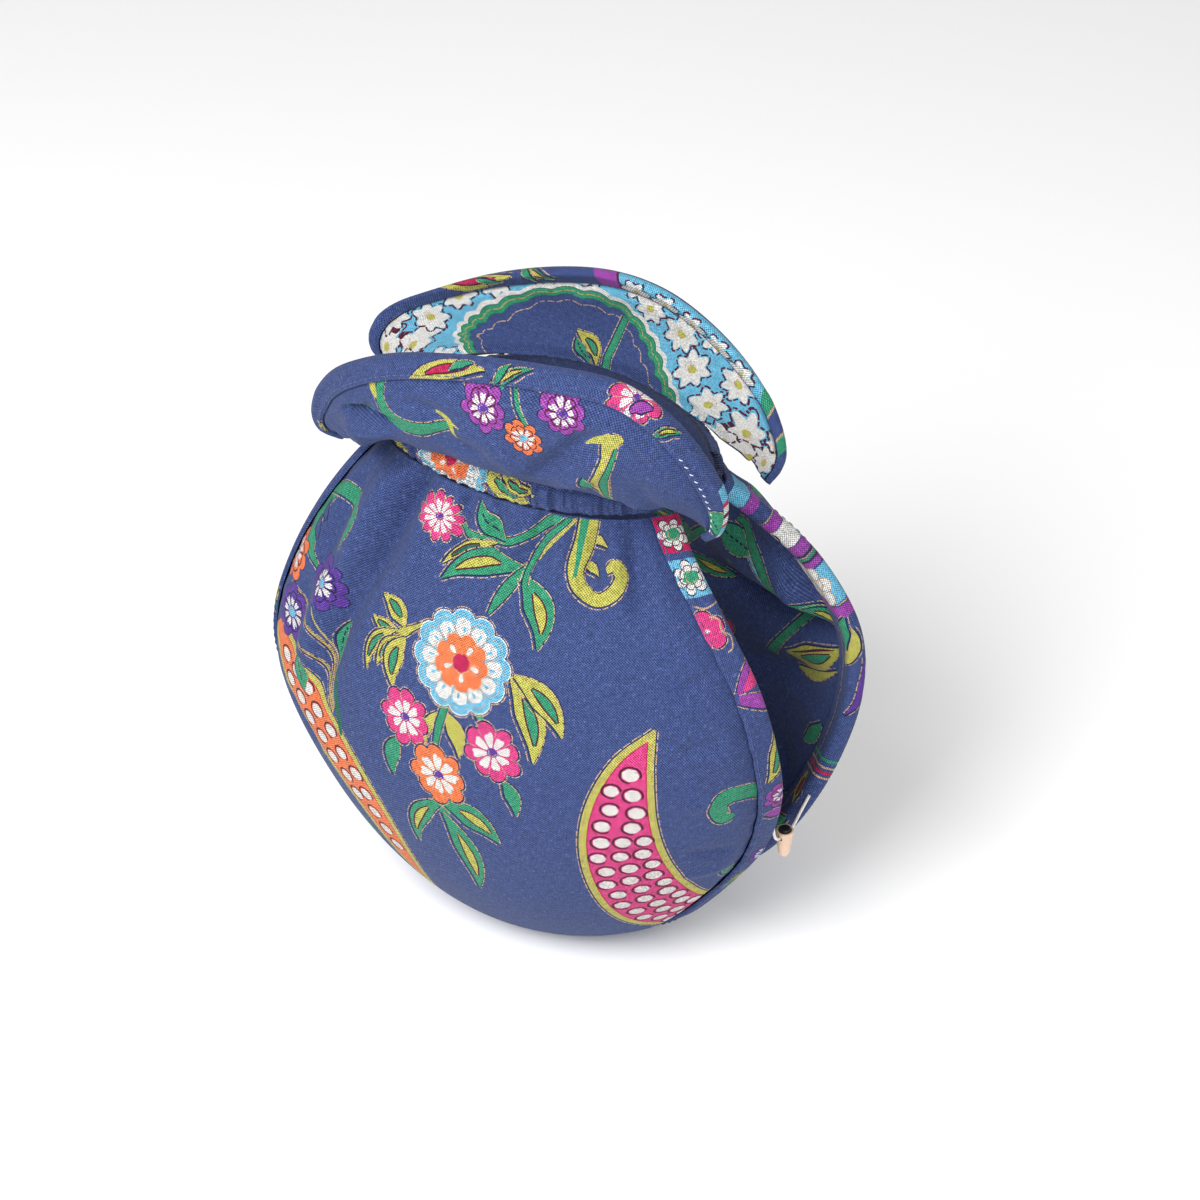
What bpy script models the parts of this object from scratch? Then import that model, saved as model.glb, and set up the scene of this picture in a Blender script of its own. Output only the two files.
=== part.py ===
"""Tea cosy: a padded cotton strip that runs from the pot's neck, down the front, under the base and
up the back, gathered into a narrow casing on each side and finished by two flaring collar flaps.

Frame: metres, +Z up, origin in the middle of the base, -Y the front, +X the side of the spout.
The tables below are in millimetres.
"""
import math
from collections import namedtuple

import bmesh
import bpy
import numpy as np
from mathutils import Vector

MM = 0.001

# Driving sizes, in millimetres.
PANEL_THICK = 7.0        # padded front, base and back
FLAP_THICK = 6.5         # padded collar flaps
CASING_THICK = 2.6       # gathered casing, two layers of cotton
TAPE_THICK = 1.2         # binding tape
TAPE_WIDE = 10.0         # how far a binding laps over its panel
PINCH = 2.1              # how far each face of a panel draws in under its binding
PINCH_FADE = 7.0         # width over which a panel swells back to its full thickness
FOLD_OUT = 2.4           # how far the fold of a binding stands out past its panel's edge
SEAM_GAP = 0.5           # room between neighbouring pieces
CASING_HIGH = 12.0
CASING_LEAN = 1.8        # how far the casing draws in towards its top
FOOT_LIFT = 0.1          # a flap's leaning foot needs less lift than its seam gap
CASING_RUFFLES = 14
CASING_BELLY = 1.2       # how far the casing swells out at half its height
CASING_RUFFLE = 0.9      # depth of one ruffle each way
GATHERS = 7              # soft pleats that run down each panel from its neck
GATHER_DEPTH = 1.7
CORD_WIDE = 1.2

# One level of the strip: its middle, its left edge and its right edge, each by its distance out from
# the middle plane and its height, and the angle through which the section wraps from middle to edge.
Level = namedtuple("Level", "mid_out mid_z left_x left_out left_z right_x right_out right_z wrap")
BASE = Level(0, -2, -46, 0, 3.5, 46, 0, 3.5, 30)
FRONT = [
    Level(26, -1, -54, 14, 8, 56, 14, 8, 42),
    Level(41, 4, -66, 21, 23, 71, 17, 21, 52),
    Level(55, 20, -80, 27, 45, 86, 14, 41, 60),
    Level(67, 45, -92, 33, 71, 98, 11, 62, 66),
    Level(74, 78, -100, 39, 96, 106, 16, 90, 68),
    Level(73, 110, -100, 39, 120, 108, 24, 118, 68),
    Level(66, 140, -91, 35, 145, 102, 28, 150, 68),
    Level(55, 170, -79, 28, 168, 88, 26, 178, 66),
    Level(45, 192, -68, 20, 188, 75, 19, 196, 64),
    Level(41, 207, -61, 14, 200, 66, 12, 207, 64),
]
BACK = [
    Level(24, -1, -54, 13, 8, 56, 13, 8, 42),
    Level(37, 4, -64, 16, 22, 73, 14, 21, 52),
    Level(48, 18, -76, 16, 43, 90, 11, 41, 60),
    Level(57, 42, -88, 16, 68, 104, 11, 65, 66),
    Level(62, 74, -96, 21, 94, 114, 17, 92, 70),
    Level(63, 108, -98, 25, 120, 119, 23, 122, 70),
    Level(58, 140, -92, 25, 146, 115, 26, 150, 70),
    Level(51, 168, -81, 21, 169, 99, 23, 178, 68),
    Level(44, 190, -68, 16, 188, 79, 18, 196, 66),
    Level(41, 207, -61, 12, 200, 66, 12, 207, 64),
]
TOP_LEVEL = len(FRONT)

# The free rim of a flap, evenly from its left end round to its right end.
Rim = namedtuple("Rim", "x out z")
FRONT_RIM = [
    Rim(-75, 25, 202), Rim(-83, 29, 206), Rim(-85, 32, 216), Rim(-76, 36, 230), Rim(-60, 41, 242),
    Rim(-37, 46, 255), Rim(-8, 48, 267), Rim(24, 48, 272), Rim(52, 44, 270), Rim(71, 39, 258),
    Rim(82, 33, 241), Rim(87, 28, 226), Rim(84, 25, 214), Rim(77, 22, 208),
]
BACK_RIM = [
    Rim(-76, 22, 201), Rim(-85, 26, 205), Rim(-90, 28, 214), Rim(-85, 32, 225), Rim(-70, 36, 235),
    Rim(-48, 41, 245), Rim(-22, 44, 252), Rim(4, 46, 255), Rim(28, 45, 254), Rim(49, 42, 248),
    Rim(65, 38, 238), Rim(76, 34, 225), Rim(80, 30, 212), Rim(75, 25, 204),
]

# Towards its ends a flap's foot leaves the casing and runs out sideways to an end point of its own.
FootEnd = namedtuple("FootEnd", "x out z")
Flap = namedtuple("Flap", "name side rim puff left_end right_end")
FLAPS = [
    Flap("front", -1, FRONT_RIM, 8.0, FootEnd(-67, 22, 210), FootEnd(70, 17, 215)),
    Flap("back", 1, BACK_RIM, 5.0, FootEnd(-68, 19, 210), FootEnd(69, 19, 214)),
]
SEWN_TO = 0.80           # share of the casing's half length to which a flap is sewn
FREE_FROM = 0.64         # share of a flap's half length at which its foot comes free of the casing
TIP_TAPER = 0.5          # share of the tape's width and of the flap's padding lost at its ends

# The elastic's path: out of the front binding, down through the stopper and up to the back binding.
CORD_ROUTE = [(100.9, -9.2, 77.1), (100.5, -8.6, 72.5), (100.5, -7.7, 68.2), (100.7, -6.2, 64.9),
              (101.1, -4.0, 63.4), (101.7, -0.9, 63.2), (102.3, 2.2, 63.4), (102.9, 4.4, 64.9),
              (103.7, 6.2, 68.2), (104.9, 7.9, 72.6), (106.3, 9.2, 77.2)]
CORD_POINTS = 19

# The cord stopper: a barrel with its mouth up, a cross hole for the elastic and a plunger in the mouth.
MOUTH = (101.7, -0.9, 65.8)
BARREL_LONG = 13.0
BARREL_WIDE = 6.8        # across the mouth
BARREL_TAIL = 4.6        # across the tail, above its dome
BARREL_WALL = 0.7
BORE_DEEP = 6.0
HOLE_WIDE = 2.4
HOLE_DROP = 2.6          # from the mouth down to the cross hole
PLUNGER_HIGH = 1.6
PLUNGER_SUNK = 0.7
STOPPER_TURN = math.radians(-11)   # turns the cross hole along the elastic

PALETTE = {
    "quilt_navy": ((0.056, 0.090, 0.262), 0.86),
    "casing_navy": ((0.060, 0.094, 0.255), 0.86),
    "binding_print": ((0.110, 0.120, 0.330), 0.84),
    "elastic_white": ((0.780, 0.760, 0.700), 0.70),
    "barrel_beige": ((0.640, 0.450, 0.320), 0.42),
    "plunger_black": ((0.012, 0.012, 0.013), 0.38),
}


def smooth_row(rows, place):
    """Point on the smooth curve through the rows, at a place counted in rows."""
    last = len(rows) - 1
    place = min(max(place, 0.0), float(last))
    start = min(int(place), last - 1)
    t = place - start
    near = [min(max(start + k, 0), last) for k in (-1, 0, 1, 2)]
    before, here, there, after = (np.array(rows[k], float) for k in near)
    return 0.5 * (2 * here + (there - before) * t + (2 * before - 5 * here + 4 * there - after) * t ** 2
                  + (3 * here - before - 3 * there + after) * t ** 3)


def signed(level, side):
    """A level with its distances out turned into Y."""
    return level._replace(mid_out=side * level.mid_out, left_out=side * level.left_out,
                          right_out=side * level.right_out)


STRIP = [signed(row, -1) for row in reversed(FRONT)] + [BASE] + [signed(row, 1) for row in BACK]


def fade(value, start, end):
    """0 before start, 1 after end, smooth between."""
    t = min(max((value - start) / (end - start), 0.0), 1.0)
    return t * t * (3 - 2 * t)


def strip_point(across, level):
    """Outer face of the strip: across runs from -1 left to 1 right, level from -10 front to 10 back."""
    row = Level(*smooth_row(STRIP, level + TOP_LEVEL))
    wrap = math.radians(row.wrap)
    angle = abs(across) * wrap
    share = (math.cos(angle) - math.cos(wrap)) / (1 - math.cos(wrap))
    reach = math.sin(angle) / math.sin(wrap)
    if across < 0:
        end_x, end_y, end_z = row.left_x, row.left_out, row.left_z
    else:
        end_x, end_y, end_z = row.right_x, row.right_out, row.right_z
    y = end_y + (row.mid_out - end_y) * share
    z = end_z + (row.mid_z - end_z) * share
    return np.array((end_x * reach, y, max(z, 0.0)))


def neck_point(across, side, height, inward):
    """Point above the strip's neck edge, drawn in towards the pot."""
    edge = strip_point(across, side * TOP_LEVEL)
    level = strip_normal(across, side * TOP_LEVEL) * (1, 1, 0)
    return edge - level / np.linalg.norm(level) * inward + np.array((0.0, 0.0, height))


def face_normal(surface, a, b, step=0.01):
    """Unit normal of a surface function, pointing away from the pot."""
    along = surface(a + step, b) - surface(a - step, b)
    down = surface(a, b + step) - surface(a, b - step)
    normal = np.cross(down, along)
    return normal / np.linalg.norm(normal)


def strip_normal(across, level):
    across = min(max(across, -0.99), 0.99)
    level = min(max(level, -TOP_LEVEL + 0.02), TOP_LEVEL - 0.02)
    return face_normal(strip_point, across, level)


def inset_across(edge, level, inset):
    """The across value that lies an inset, in millimetres, in from the strip's left or right edge."""
    step = 0.02
    pace = np.linalg.norm(strip_point(edge, level) - strip_point(edge * (1 - step), level)) / step
    return edge * (1 - inset / pace)


def flap_flat(flap, around, rise):
    """A flap before it is puffed: around runs -1 left to 1 right, rise 0 at the foot to 1 at the rim."""
    place = (min(max(around, -1.0), 1.0) + 1) / 2 * (len(flap.rim) - 1)
    rim = Rim(*smooth_row(flap.rim, place))
    share = min(abs(around), 1.0)
    across = math.copysign(min(share / FREE_FROM, 1.0) * SEWN_TO, around)
    end = flap.left_end if around < 0 else flap.right_end
    end = np.array((end.x, flap.side * end.out, end.z))
    foot = neck_point(across, flap.side, CASING_HIGH + FOOT_LIFT, CASING_LEAN)
    foot = foot + (end - foot) * fade(share, FREE_FROM - 0.1, 1.0)
    top = np.array((rim.x, flap.side * rim.out, rim.z))
    return foot + (top - foot) * rise


def flap_normal(flap, around, rise):
    around = min(max(around, -0.92), 0.92)
    rise = min(max(rise, 0.4), 0.6)
    return flap.side * face_normal(lambda a, b: flap_flat(flap, a, b), around, rise)


def flap_point(flap, around, rise):
    """Outer face of a puffed flap."""
    puff = flap.puff * (max(4 * rise * (1 - rise), 0.0)) ** 0.7 * (1 - fade(abs(around), 0.45, 0.95))
    droop = np.array((0.0, 0.0, -0.2 * puff))
    return flap_flat(flap, around, rise) + flap_normal(flap, around, rise) * puff + droop


def flap_taper(around):
    """What is left of a flap's tape width and padding towards its ends."""
    return 1 - TIP_TAPER * fade(abs(around), 0.6, 0.92)


def flap_rise(flap, around, inset):
    """The rise value that lies an inset in from the flap's rim, less where the flap is narrow."""
    span = np.linalg.norm(flap_point(flap, around, 1.0) - flap_point(flap, around, 0.6)) / 0.4
    return 1 - min(inset * flap_taper(around) / span, 0.55 * inset / (TAPE_WIDE + PINCH_FADE))


def pinch(inset):
    """How far a panel's face lies below its full puff, an inset in from a bound edge."""
    return PINCH * (1 - fade(inset, TAPE_WIDE, TAPE_WIDE + PINCH_FADE))


def gather(across, level):
    """Soft pleats that start at the neck and die out down the panel."""
    strength = fade(abs(level), 5.0, TOP_LEVEL) * (1 - across ** 6)
    phase = 2 * math.pi * GATHERS * (across + 0.06 * math.sin(5 * across)) / 2
    return GATHER_DEPTH * strength * math.cos(phase)


def sheet(name, columns, rows, outer, inner, finish):
    """A closed sheet: a grid placed by outer(column, row), extruded and placed by inner(column, row).

    The outer face looks at you where its columns run to the right and its rows run down.
    """
    mesh = bpy.data.meshes.new(name)
    grid = bmesh.new()
    bmesh.ops.create_grid(grid, x_segments=columns - 1, y_segments=rows - 1, size=1.0)
    extruded = bmesh.ops.extrude_face_region(grid, geom=grid.faces[:], use_keep_orig=True)
    backs = {item for item in extruded["geom"] if isinstance(item, bmesh.types.BMVert)}
    for vert in grid.verts:
        column = round((vert.co.x + 1) / 2 * (columns - 1))
        row = round((1 - vert.co.y) / 2 * (rows - 1))
        place = inner if vert in backs else outer
        vert.co = Vector(place(column, row)) * MM
    bmesh.ops.recalc_face_normals(grid, faces=grid.faces[:])
    grid.to_mesh(mesh)
    grid.free()
    mesh.shade_smooth()
    mesh.set_sharp_from_angle(angle=math.radians(50))
    mesh.materials.append(finish)
    piece = bpy.data.objects.new(name, mesh)
    COSY.objects.link(piece)
    return piece


def paint(name):
    colour, roughness = PALETTE[name]
    finish = bpy.data.materials.new(name)
    finish.use_nodes = True
    shader = finish.node_tree.nodes["Principled BSDF"]
    shader.inputs["Base Color"].default_value = (*colour, 1.0)
    shader.inputs["Roughness"].default_value = roughness
    shader.inputs["Metallic"].default_value = 0.0
    return finish


def even(count, low, high):
    return [low + (high - low) * k / (count - 1) for k in range(count)]


STOPPER_SIDES = 16
EDGE_INSETS = (0.0, TAPE_WIDE, TAPE_WIDE + 0.5 * PINCH_FADE, TAPE_WIDE + PINCH_FADE)
MIDDLE_COLUMNS = 27
STRIP_LEVELS = even(31, -TOP_LEVEL, TOP_LEVEL)
FLAP_COLUMNS = 31
FLAP_INSETS = (0.8, TAPE_WIDE, TAPE_WIDE + PINCH_FADE)
FLAP_RISES = (0.0, 0.12, 0.3, 0.52, 0.76)
FOOT_FADE = 0.15         # share of a flap's height over which it swells from its foot


def make_body():
    """The strip: front panel, base and back panel in one padded piece."""
    edge_count = len(EDGE_INSETS)
    columns = 2 * edge_count + MIDDLE_COLUMNS

    def spot(column, row):
        """Place on the strip of a column and row, and how far each face draws in there."""
        level = STRIP_LEVELS[row]
        neck = fade(abs(level), TOP_LEVEL - 0.7, TOP_LEVEL)
        if column < edge_count:
            inset = EDGE_INSETS[column]
            return inset_across(-1, level, inset), level, max(pinch(inset), PINCH * neck)
        if column >= columns - edge_count:
            inset = EDGE_INSETS[columns - 1 - column]
            return inset_across(1, level, inset), level, max(pinch(inset), PINCH * neck)
        left = inset_across(-1, level, EDGE_INSETS[-1])
        right = inset_across(1, level, EDGE_INSETS[-1])
        share = (column - edge_count + 1) / (MIDDLE_COLUMNS + 1)
        return left + (right - left) * share, level, PINCH * neck

    def outer(column, row):
        across, level, drawn = spot(column, row)
        depth = drawn - gather(across, level)
        return strip_point(across, level) - strip_normal(across, level) * depth

    def inner(column, row):
        across, level, drawn = spot(column, row)
        depth = PANEL_THICK - drawn - gather(across, level)
        return strip_point(across, level) - strip_normal(across, level) * depth

    sheet("body", columns, len(STRIP_LEVELS), outer, inner, paint("quilt_navy"))


def tape_lines(thick):
    """Outer and inner line of a tape folded round an edge, as pairs of inset and depth."""
    lap = thick - TAPE_THICK
    fold_in = FOLD_OUT - TAPE_THICK
    outer = [(TAPE_WIDE, 0.0), (-0.4, 0.0), (-0.85 * FOLD_OUT, 0.19 * thick), (-FOLD_OUT, 0.5 * thick),
             (-0.85 * FOLD_OUT, 0.81 * thick), (-0.4, thick), (TAPE_WIDE, thick)]
    inner = [(TAPE_WIDE, TAPE_THICK), (-0.1, TAPE_THICK), (-0.85 * fold_in, 0.27 * thick),
             (-fold_in, 0.5 * thick), (-0.85 * fold_in, 0.73 * thick), (-0.1, lap), (TAPE_WIDE, lap)]
    return outer, inner


def past_edge(point, inner, beyond):
    """The point moved out past an edge, along the line from a point further in."""
    return point + (point - inner) / np.linalg.norm(point - inner) * beyond


def make_side_bindings():
    """Tape round each side edge of the strip, from the front neck under the base to the back neck."""
    lines = tape_lines(PANEL_THICK)
    last = len(lines[0]) - 1
    for name, edge in (("side_binding_spout", 1), ("side_binding_handle", -1)):

        def place(column, row, line, edge=edge):
            # the left tape's section runs the other way, so that both face outward
            inset, depth = line[column if edge > 0 else last - column]
            level = STRIP_LEVELS[row]
            across = inset_across(edge, level, max(inset, 0.0))
            point = strip_point(across, level)
            if inset < 0:
                point = past_edge(point, strip_point(inset_across(edge, level, 3.0), level), -inset)
            return point - strip_normal(across, level) * depth

        sheet(name, last + 1, len(STRIP_LEVELS), lambda c, r: place(c, r, lines[0]),
              lambda c, r: place(c, r, lines[1]), paint("binding_print"))


def make_casings():
    """The gathered strip between each panel's neck and its flap."""
    columns = CASING_RUFFLES * 4 + 1
    heights = (SEAM_GAP, 0.5 * CASING_HIGH, CASING_HIGH)
    for name, side in (("casing_front", -1), ("casing_back", 1)):

        def place(column, row, depth, side=side):
            share = column / (columns - 1)
            across = side * (2 * share - 1)
            wave = math.sin(2 * math.pi * CASING_RUFFLES * share) * CASING_RUFFLE * (1 - across ** 6)
            belly = CASING_BELLY * math.sin(math.pi * row / (len(heights) - 1))
            lean = CASING_LEAN * heights[row] / CASING_HIGH
            return neck_point(across, side, heights[row], PINCH + lean - belly - wave + depth)

        sheet(name, columns, len(heights), lambda c, r: place(c, r, 0.0),
              lambda c, r: place(c, r, CASING_THICK), paint("casing_navy"))


def around_of(flap, column):
    """Place along a flap for a grid column, ordered so that the grid faces away from the pot."""
    return flap.side * (2 * column / (FLAP_COLUMNS - 1) - 1)


def flap_thick(around):
    """Thickness of a flap, from its middle to its thinner ends."""
    return 2 * PINCH + (FLAP_THICK - 2 * PINCH) * flap_taper(around)


def make_flaps():
    """The padded collar flaps that flare from the neck, one at the front and one at the back."""
    rows = len(FLAP_RISES) + len(FLAP_INSETS)
    for flap in FLAPS:

        def place(column, row, inside, flap=flap):
            around = around_of(flap, column)
            if row < len(FLAP_RISES):
                rise = flap_rise(flap, around, FLAP_INSETS[-1]) * FLAP_RISES[row]
                drawn = PINCH * (1 - fade(rise, 0.0, FOOT_FADE))
            else:
                inset = FLAP_INSETS[rows - 1 - row]
                rise = flap_rise(flap, around, inset)
                drawn = pinch(inset)
            depth = flap_thick(around) - drawn if inside else drawn
            return flap_point(flap, around, rise) - flap_normal(flap, around, rise) * depth

        sheet("flap_" + flap.name, FLAP_COLUMNS, rows, lambda c, r: place(c, r, False),
              lambda c, r: place(c, r, True), paint("quilt_navy"))


def make_rim_bindings():
    """Tape round the free rim of each flap."""
    rows = len(tape_lines(FLAP_THICK)[0])
    for flap in FLAPS:

        def place(column, row, inside, flap=flap):
            around = around_of(flap, column)
            inset, depth = tape_lines(flap_thick(around))[inside][row]
            rise = flap_rise(flap, around, max(inset, 0.0))
            point = flap_point(flap, around, rise)
            if inset < 0:
                point = past_edge(point, flap_flat(flap, around, 0.5), -inset)
            return point - flap_normal(flap, around, rise) * depth

        sheet("rim_binding_" + flap.name, FLAP_COLUMNS, rows, lambda c, r: place(c, r, 0),
              lambda c, r: place(c, r, 1), paint("binding_print"))


def make_cord():
    """The thin elastic that draws the spout slit together below the spout."""
    curve = bpy.data.curves.new("draw_cord", "CURVE")
    curve.dimensions = "3D"
    curve.bevel_depth = CORD_WIDE / 2 * MM
    curve.bevel_resolution = 2
    curve.use_fill_caps = True
    path = curve.splines.new("POLY")
    path.points.add(CORD_POINTS - 1)
    for point, place in zip(path.points, even(CORD_POINTS, 0, len(CORD_ROUTE) - 1)):
        point.co = (*(smooth_row(CORD_ROUTE, place) * MM), 1.0)
    cord = bpy.data.objects.new("draw_cord", curve)
    curve.materials.append(paint("elastic_white"))
    COSY.objects.link(cord)


def turned(name, profile, finish):
    """A body turned about Z from a profile of (radius, height) that runs from the top axis down."""
    mesh = bpy.data.meshes.new(name)
    line = bmesh.new()
    verts = [line.verts.new((radius * MM, 0.0, height * MM)) for radius, height in profile]
    for first, second in zip(verts, verts[1:]):
        line.edges.new((first, second))
    line.to_mesh(mesh)
    line.free()
    piece = bpy.data.objects.new(name, mesh)
    screw = piece.modifiers.new("turn", "SCREW")
    screw.steps = STOPPER_SIDES
    screw.render_steps = STOPPER_SIDES
    screw.use_merge_vertices = True
    screw.merge_threshold = 0.00001
    mesh.materials.append(finish)
    piece.location = Vector(MOUTH) * MM
    piece.rotation_euler = (0.0, 0.0, STOPPER_TURN)
    COSY.objects.link(piece)
    return piece


def make_stopper():
    """Cord stopper: a turned barrel, closed by a dome below, and the plunger that sits in its mouth."""
    mouth = BARREL_WIDE / 2
    tail = BARREL_TAIL / 2
    bore = mouth - BARREL_WALL
    dome = [(tail * math.cos(a), -BARREL_LONG + tail - tail * math.sin(a))
            for a in (math.radians(22.5 * k) for k in range(5))]
    dome[-1] = (0.0, -BARREL_LONG)
    profile = [(0.0, -BORE_DEEP), (bore - 0.5, -BORE_DEEP), (bore, 0.0), (mouth - 0.2, 0.0), (mouth, -0.3),
               (mouth - 0.1, -2.0)] + dome
    barrel = turned("stopper_barrel", profile, paint("barrel_beige"))
    bpy.ops.mesh.primitive_cylinder_add(vertices=12, radius=HOLE_WIDE / 2 * MM, depth=12 * MM)
    hole = bpy.context.object
    hole.name = "cross_hole"
    hole.location = Vector(MOUTH) * MM - Vector((0.0, 0.0, HOLE_DROP * MM))
    hole.rotation_euler = (math.radians(90), 0.0, STOPPER_TURN)
    hole.hide_render = True
    hole.display_type = "WIRE"
    for home in list(hole.users_collection):
        home.objects.unlink(hole)
    CUTTERS.objects.link(hole)
    cut = barrel.modifiers.new("cross hole", "BOOLEAN")
    cut.object = hole
    cut.operation = "DIFFERENCE"
    cut.solver = "EXACT"
    top = PLUNGER_HIGH - PLUNGER_SUNK
    radius = bore - 0.35
    outline = [(0.0, top), (radius - 0.5, top), (radius, top - 0.4), (radius, -PLUNGER_SUNK),
               (0.0, -PLUNGER_SUNK)]
    turned("stopper_plunger", outline, paint("plunger_black"))


COSY = bpy.data.collections.new("tea_cosy")
CUTTERS = bpy.data.collections.new("cutters")


def main():
    for old in list(bpy.data.objects):
        bpy.data.objects.remove(old)
    bpy.context.scene.collection.children.link(COSY)
    bpy.context.scene.collection.children.link(CUTTERS)
    make_body()
    make_side_bindings()
    make_casings()
    make_flaps()
    make_rim_bindings()
    make_cord()
    make_stopper()


main()
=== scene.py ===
"""Tea cosy of printed, padded cotton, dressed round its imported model.

The model gives the frame: metres, +Z up, origin in the middle of the base, -Y the front and +X the side
of the spout. Tables and sizes below are in millimetres. Each piece of cloth is drawn flat first: its
print is a set of outlines in the flat cloth's own x and y, the cloth is cut into triangles along those
outlines, and a placing function carries both of its faces to where they are sewn.
"""
import math
from collections import namedtuple

import bmesh
import bpy
import numpy as np
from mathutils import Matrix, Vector, geometry, kdtree


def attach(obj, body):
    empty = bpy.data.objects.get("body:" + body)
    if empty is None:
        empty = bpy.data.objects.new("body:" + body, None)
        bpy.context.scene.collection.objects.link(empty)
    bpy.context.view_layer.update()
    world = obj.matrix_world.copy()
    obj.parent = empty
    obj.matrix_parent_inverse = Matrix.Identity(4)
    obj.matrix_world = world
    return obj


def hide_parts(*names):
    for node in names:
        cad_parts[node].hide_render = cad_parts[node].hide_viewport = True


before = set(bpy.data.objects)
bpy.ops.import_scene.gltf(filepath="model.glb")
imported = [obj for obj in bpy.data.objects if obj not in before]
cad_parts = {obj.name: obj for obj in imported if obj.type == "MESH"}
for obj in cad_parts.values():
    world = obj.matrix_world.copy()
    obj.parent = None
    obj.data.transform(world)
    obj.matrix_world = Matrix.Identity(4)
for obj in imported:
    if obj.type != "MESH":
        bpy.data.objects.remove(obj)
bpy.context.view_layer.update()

bl_info = {
    "name": "Printed tea cosy",
    "version": (1, 0, 0),
    "blender": (4, 5, 0),
    "location": "View3D > Sidebar > Tea cosy",
    "description": "Dresses a padded wrap-round tea cosy in printed cotton",
    "category": "Add Mesh",
}

MM = 0.001

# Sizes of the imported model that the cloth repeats, in millimetres.
PANEL_THICK = 7.0
FLAP_THICK = 6.5
CASING_THICK = 2.6
TAPE_THICK = 1.2
TAPE_WIDE = 10.0
PINCH = 2.1
PINCH_FADE = 7.0
FOLD_OUT = 2.4
SEAM_GAP = 0.5
CASING_HIGH = 12.0
CASING_LEAN = 1.8
FOOT_LIFT = 0.1
CORD_WIDE = 1.2

# How the cloth departs from the model: the trim of the rims' laps and of the handle side's outer lap,
# the further cut of that lap below the neck, and the further reach of the spout side's inner lap, which
# is widest where it crosses the opening.
RIM_TRIM = 6.6
HANDLE_TRIM = 6.0
HANDLE_CUT = 2.2
HANDLE_CUT_FROM, HANDLE_CUT_TO = 25.0, 60.0
SPOUT_SPREAD = 5.0
SPOUT_STRETCH = 0.7
SPOUT_STRETCH_AT, SPOUT_STRETCH_LONG = 462.0, 20.0

# A flap laid flat, and how far its foot is let into the top of its casing.
FLAP_WIDE = 120.0
FLAP_HIGH = 62.0
FOOT_SINK = 2.0

# The casings' flat length for each millimetre of neck, and the heights of their two rows of stitches.
GATHERED = 1.35
LOWER_SEAM = 2.2
UPPER_SEAM = CASING_HIGH - 2.4

# Half the gap of the seam that joins the two panels under the base.
SPLIT = 0.15

# One level of the strip: its middle, its left edge and its right edge, each by its distance out from
# the middle plane and its height, and the angle through which the section wraps from middle to edge.
Level = namedtuple("Level", "mid_out mid_z left_x left_out left_z right_x right_out right_z wrap")
BASE = Level(0, -2, -46, 0, 3.5, 46, 0, 3.5, 30)
FRONT = [Level(*row) for row in (
    (26, -1, -54, 14, 8, 56, 14, 8, 42),
    (41, 4, -66, 21, 23, 71, 17, 21, 52),
    (55, 20, -80, 27, 45, 86, 14, 41, 60),
    (67, 45, -92, 33, 71, 98, 11, 62, 66),
    (74, 78, -100, 39, 96, 106, 16, 90, 68),
    (73, 110, -100, 39, 120, 108, 24, 118, 68),
    (66, 140, -93, 35, 146, 101, 28, 150, 68),
    (55, 170, -83, 28, 170, 85, 27, 177, 66),
    (45, 192, -72, 20, 189, 69, 21, 195, 64),
    (41, 207, -63, 14, 200, 59, 14, 206, 64),
)]
BACK = [Level(*row) for row in (
    (24, -1, -54, 13, 8, 56, 13, 8, 42),
    (37, 4, -64, 16, 22, 73, 14, 21, 52),
    (48, 18, -76, 16, 43, 90, 11, 41, 60),
    (57, 42, -88, 16, 68, 104, 11, 65, 66),
    (62, 74, -96, 21, 94, 114, 17, 92, 70),
    (63, 108, -98, 25, 120, 119, 23, 122, 70),
    (58, 140, -92, 25, 146, 115, 26, 150, 70),
    (51, 168, -81, 21, 169, 99, 23, 178, 68),
    (44, 190, -68, 16, 188, 79, 18, 196, 66),
    (41, 207, -61, 12, 200, 66, 12, 207, 64),
)]
TOP_LEVEL = len(FRONT)

# The free rim of a flap, evenly from its left end round to its right end, as x, distance out and z.
FRONT_RIM = [
    (-73, 25, 198), (-79, 29, 202), (-79, 32, 212), (-70, 36, 228), (-56, 41, 241), (-35, 46, 254),
    (-6, 48, 264), (24, 48, 270), (51, 44, 270), (68, 39, 259), (78, 33, 242), (82, 28, 226),
    (80, 25, 213), (74, 22, 206),
]
BACK_RIM = [
    (-79, 22, 199), (-87, 26, 201), (-90, 28, 209), (-83, 32, 219), (-68, 36, 229), (-46, 41, 240),
    (-21, 44, 249), (2, 46, 253), (24, 45, 252), (44, 42, 245), (60, 38, 235), (71, 34, 222),
    (76, 30, 210), (73, 25, 202),
]
Flap = namedtuple("Flap", "name side rim puff left_end right_end")
FLAP_FRONT = Flap("front", -1, FRONT_RIM, 8.5, (-66, 24, 205), (68, 17, 212))
FLAP_BACK = Flap("back", 1, BACK_RIM, 5.0, (-68, 19, 210), (69, 19, 214))
SEWN_TO = 0.80
FREE_FROM = 0.64
TIP_TAPER = 0.5
FOOT_FADE = 0.15

CORD_ROUTE = [(100.9, -9.2, 77.1), (100.5, -8.6, 72.5), (100.5, -7.7, 68.2), (100.7, -6.2, 64.9),
              (101.1, -4.0, 63.4), (101.7, -0.9, 63.2), (102.3, 2.2, 63.4), (102.9, 4.4, 64.9),
              (103.7, 6.2, 68.2), (104.9, 7.9, 72.6), (106.3, 9.2, 77.2)]

# The point that the camera looks at, in metres.
LOOK_AT = (0.021, 0.0, 0.143)

# ---------------------------------------------------------------- surfaces


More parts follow.
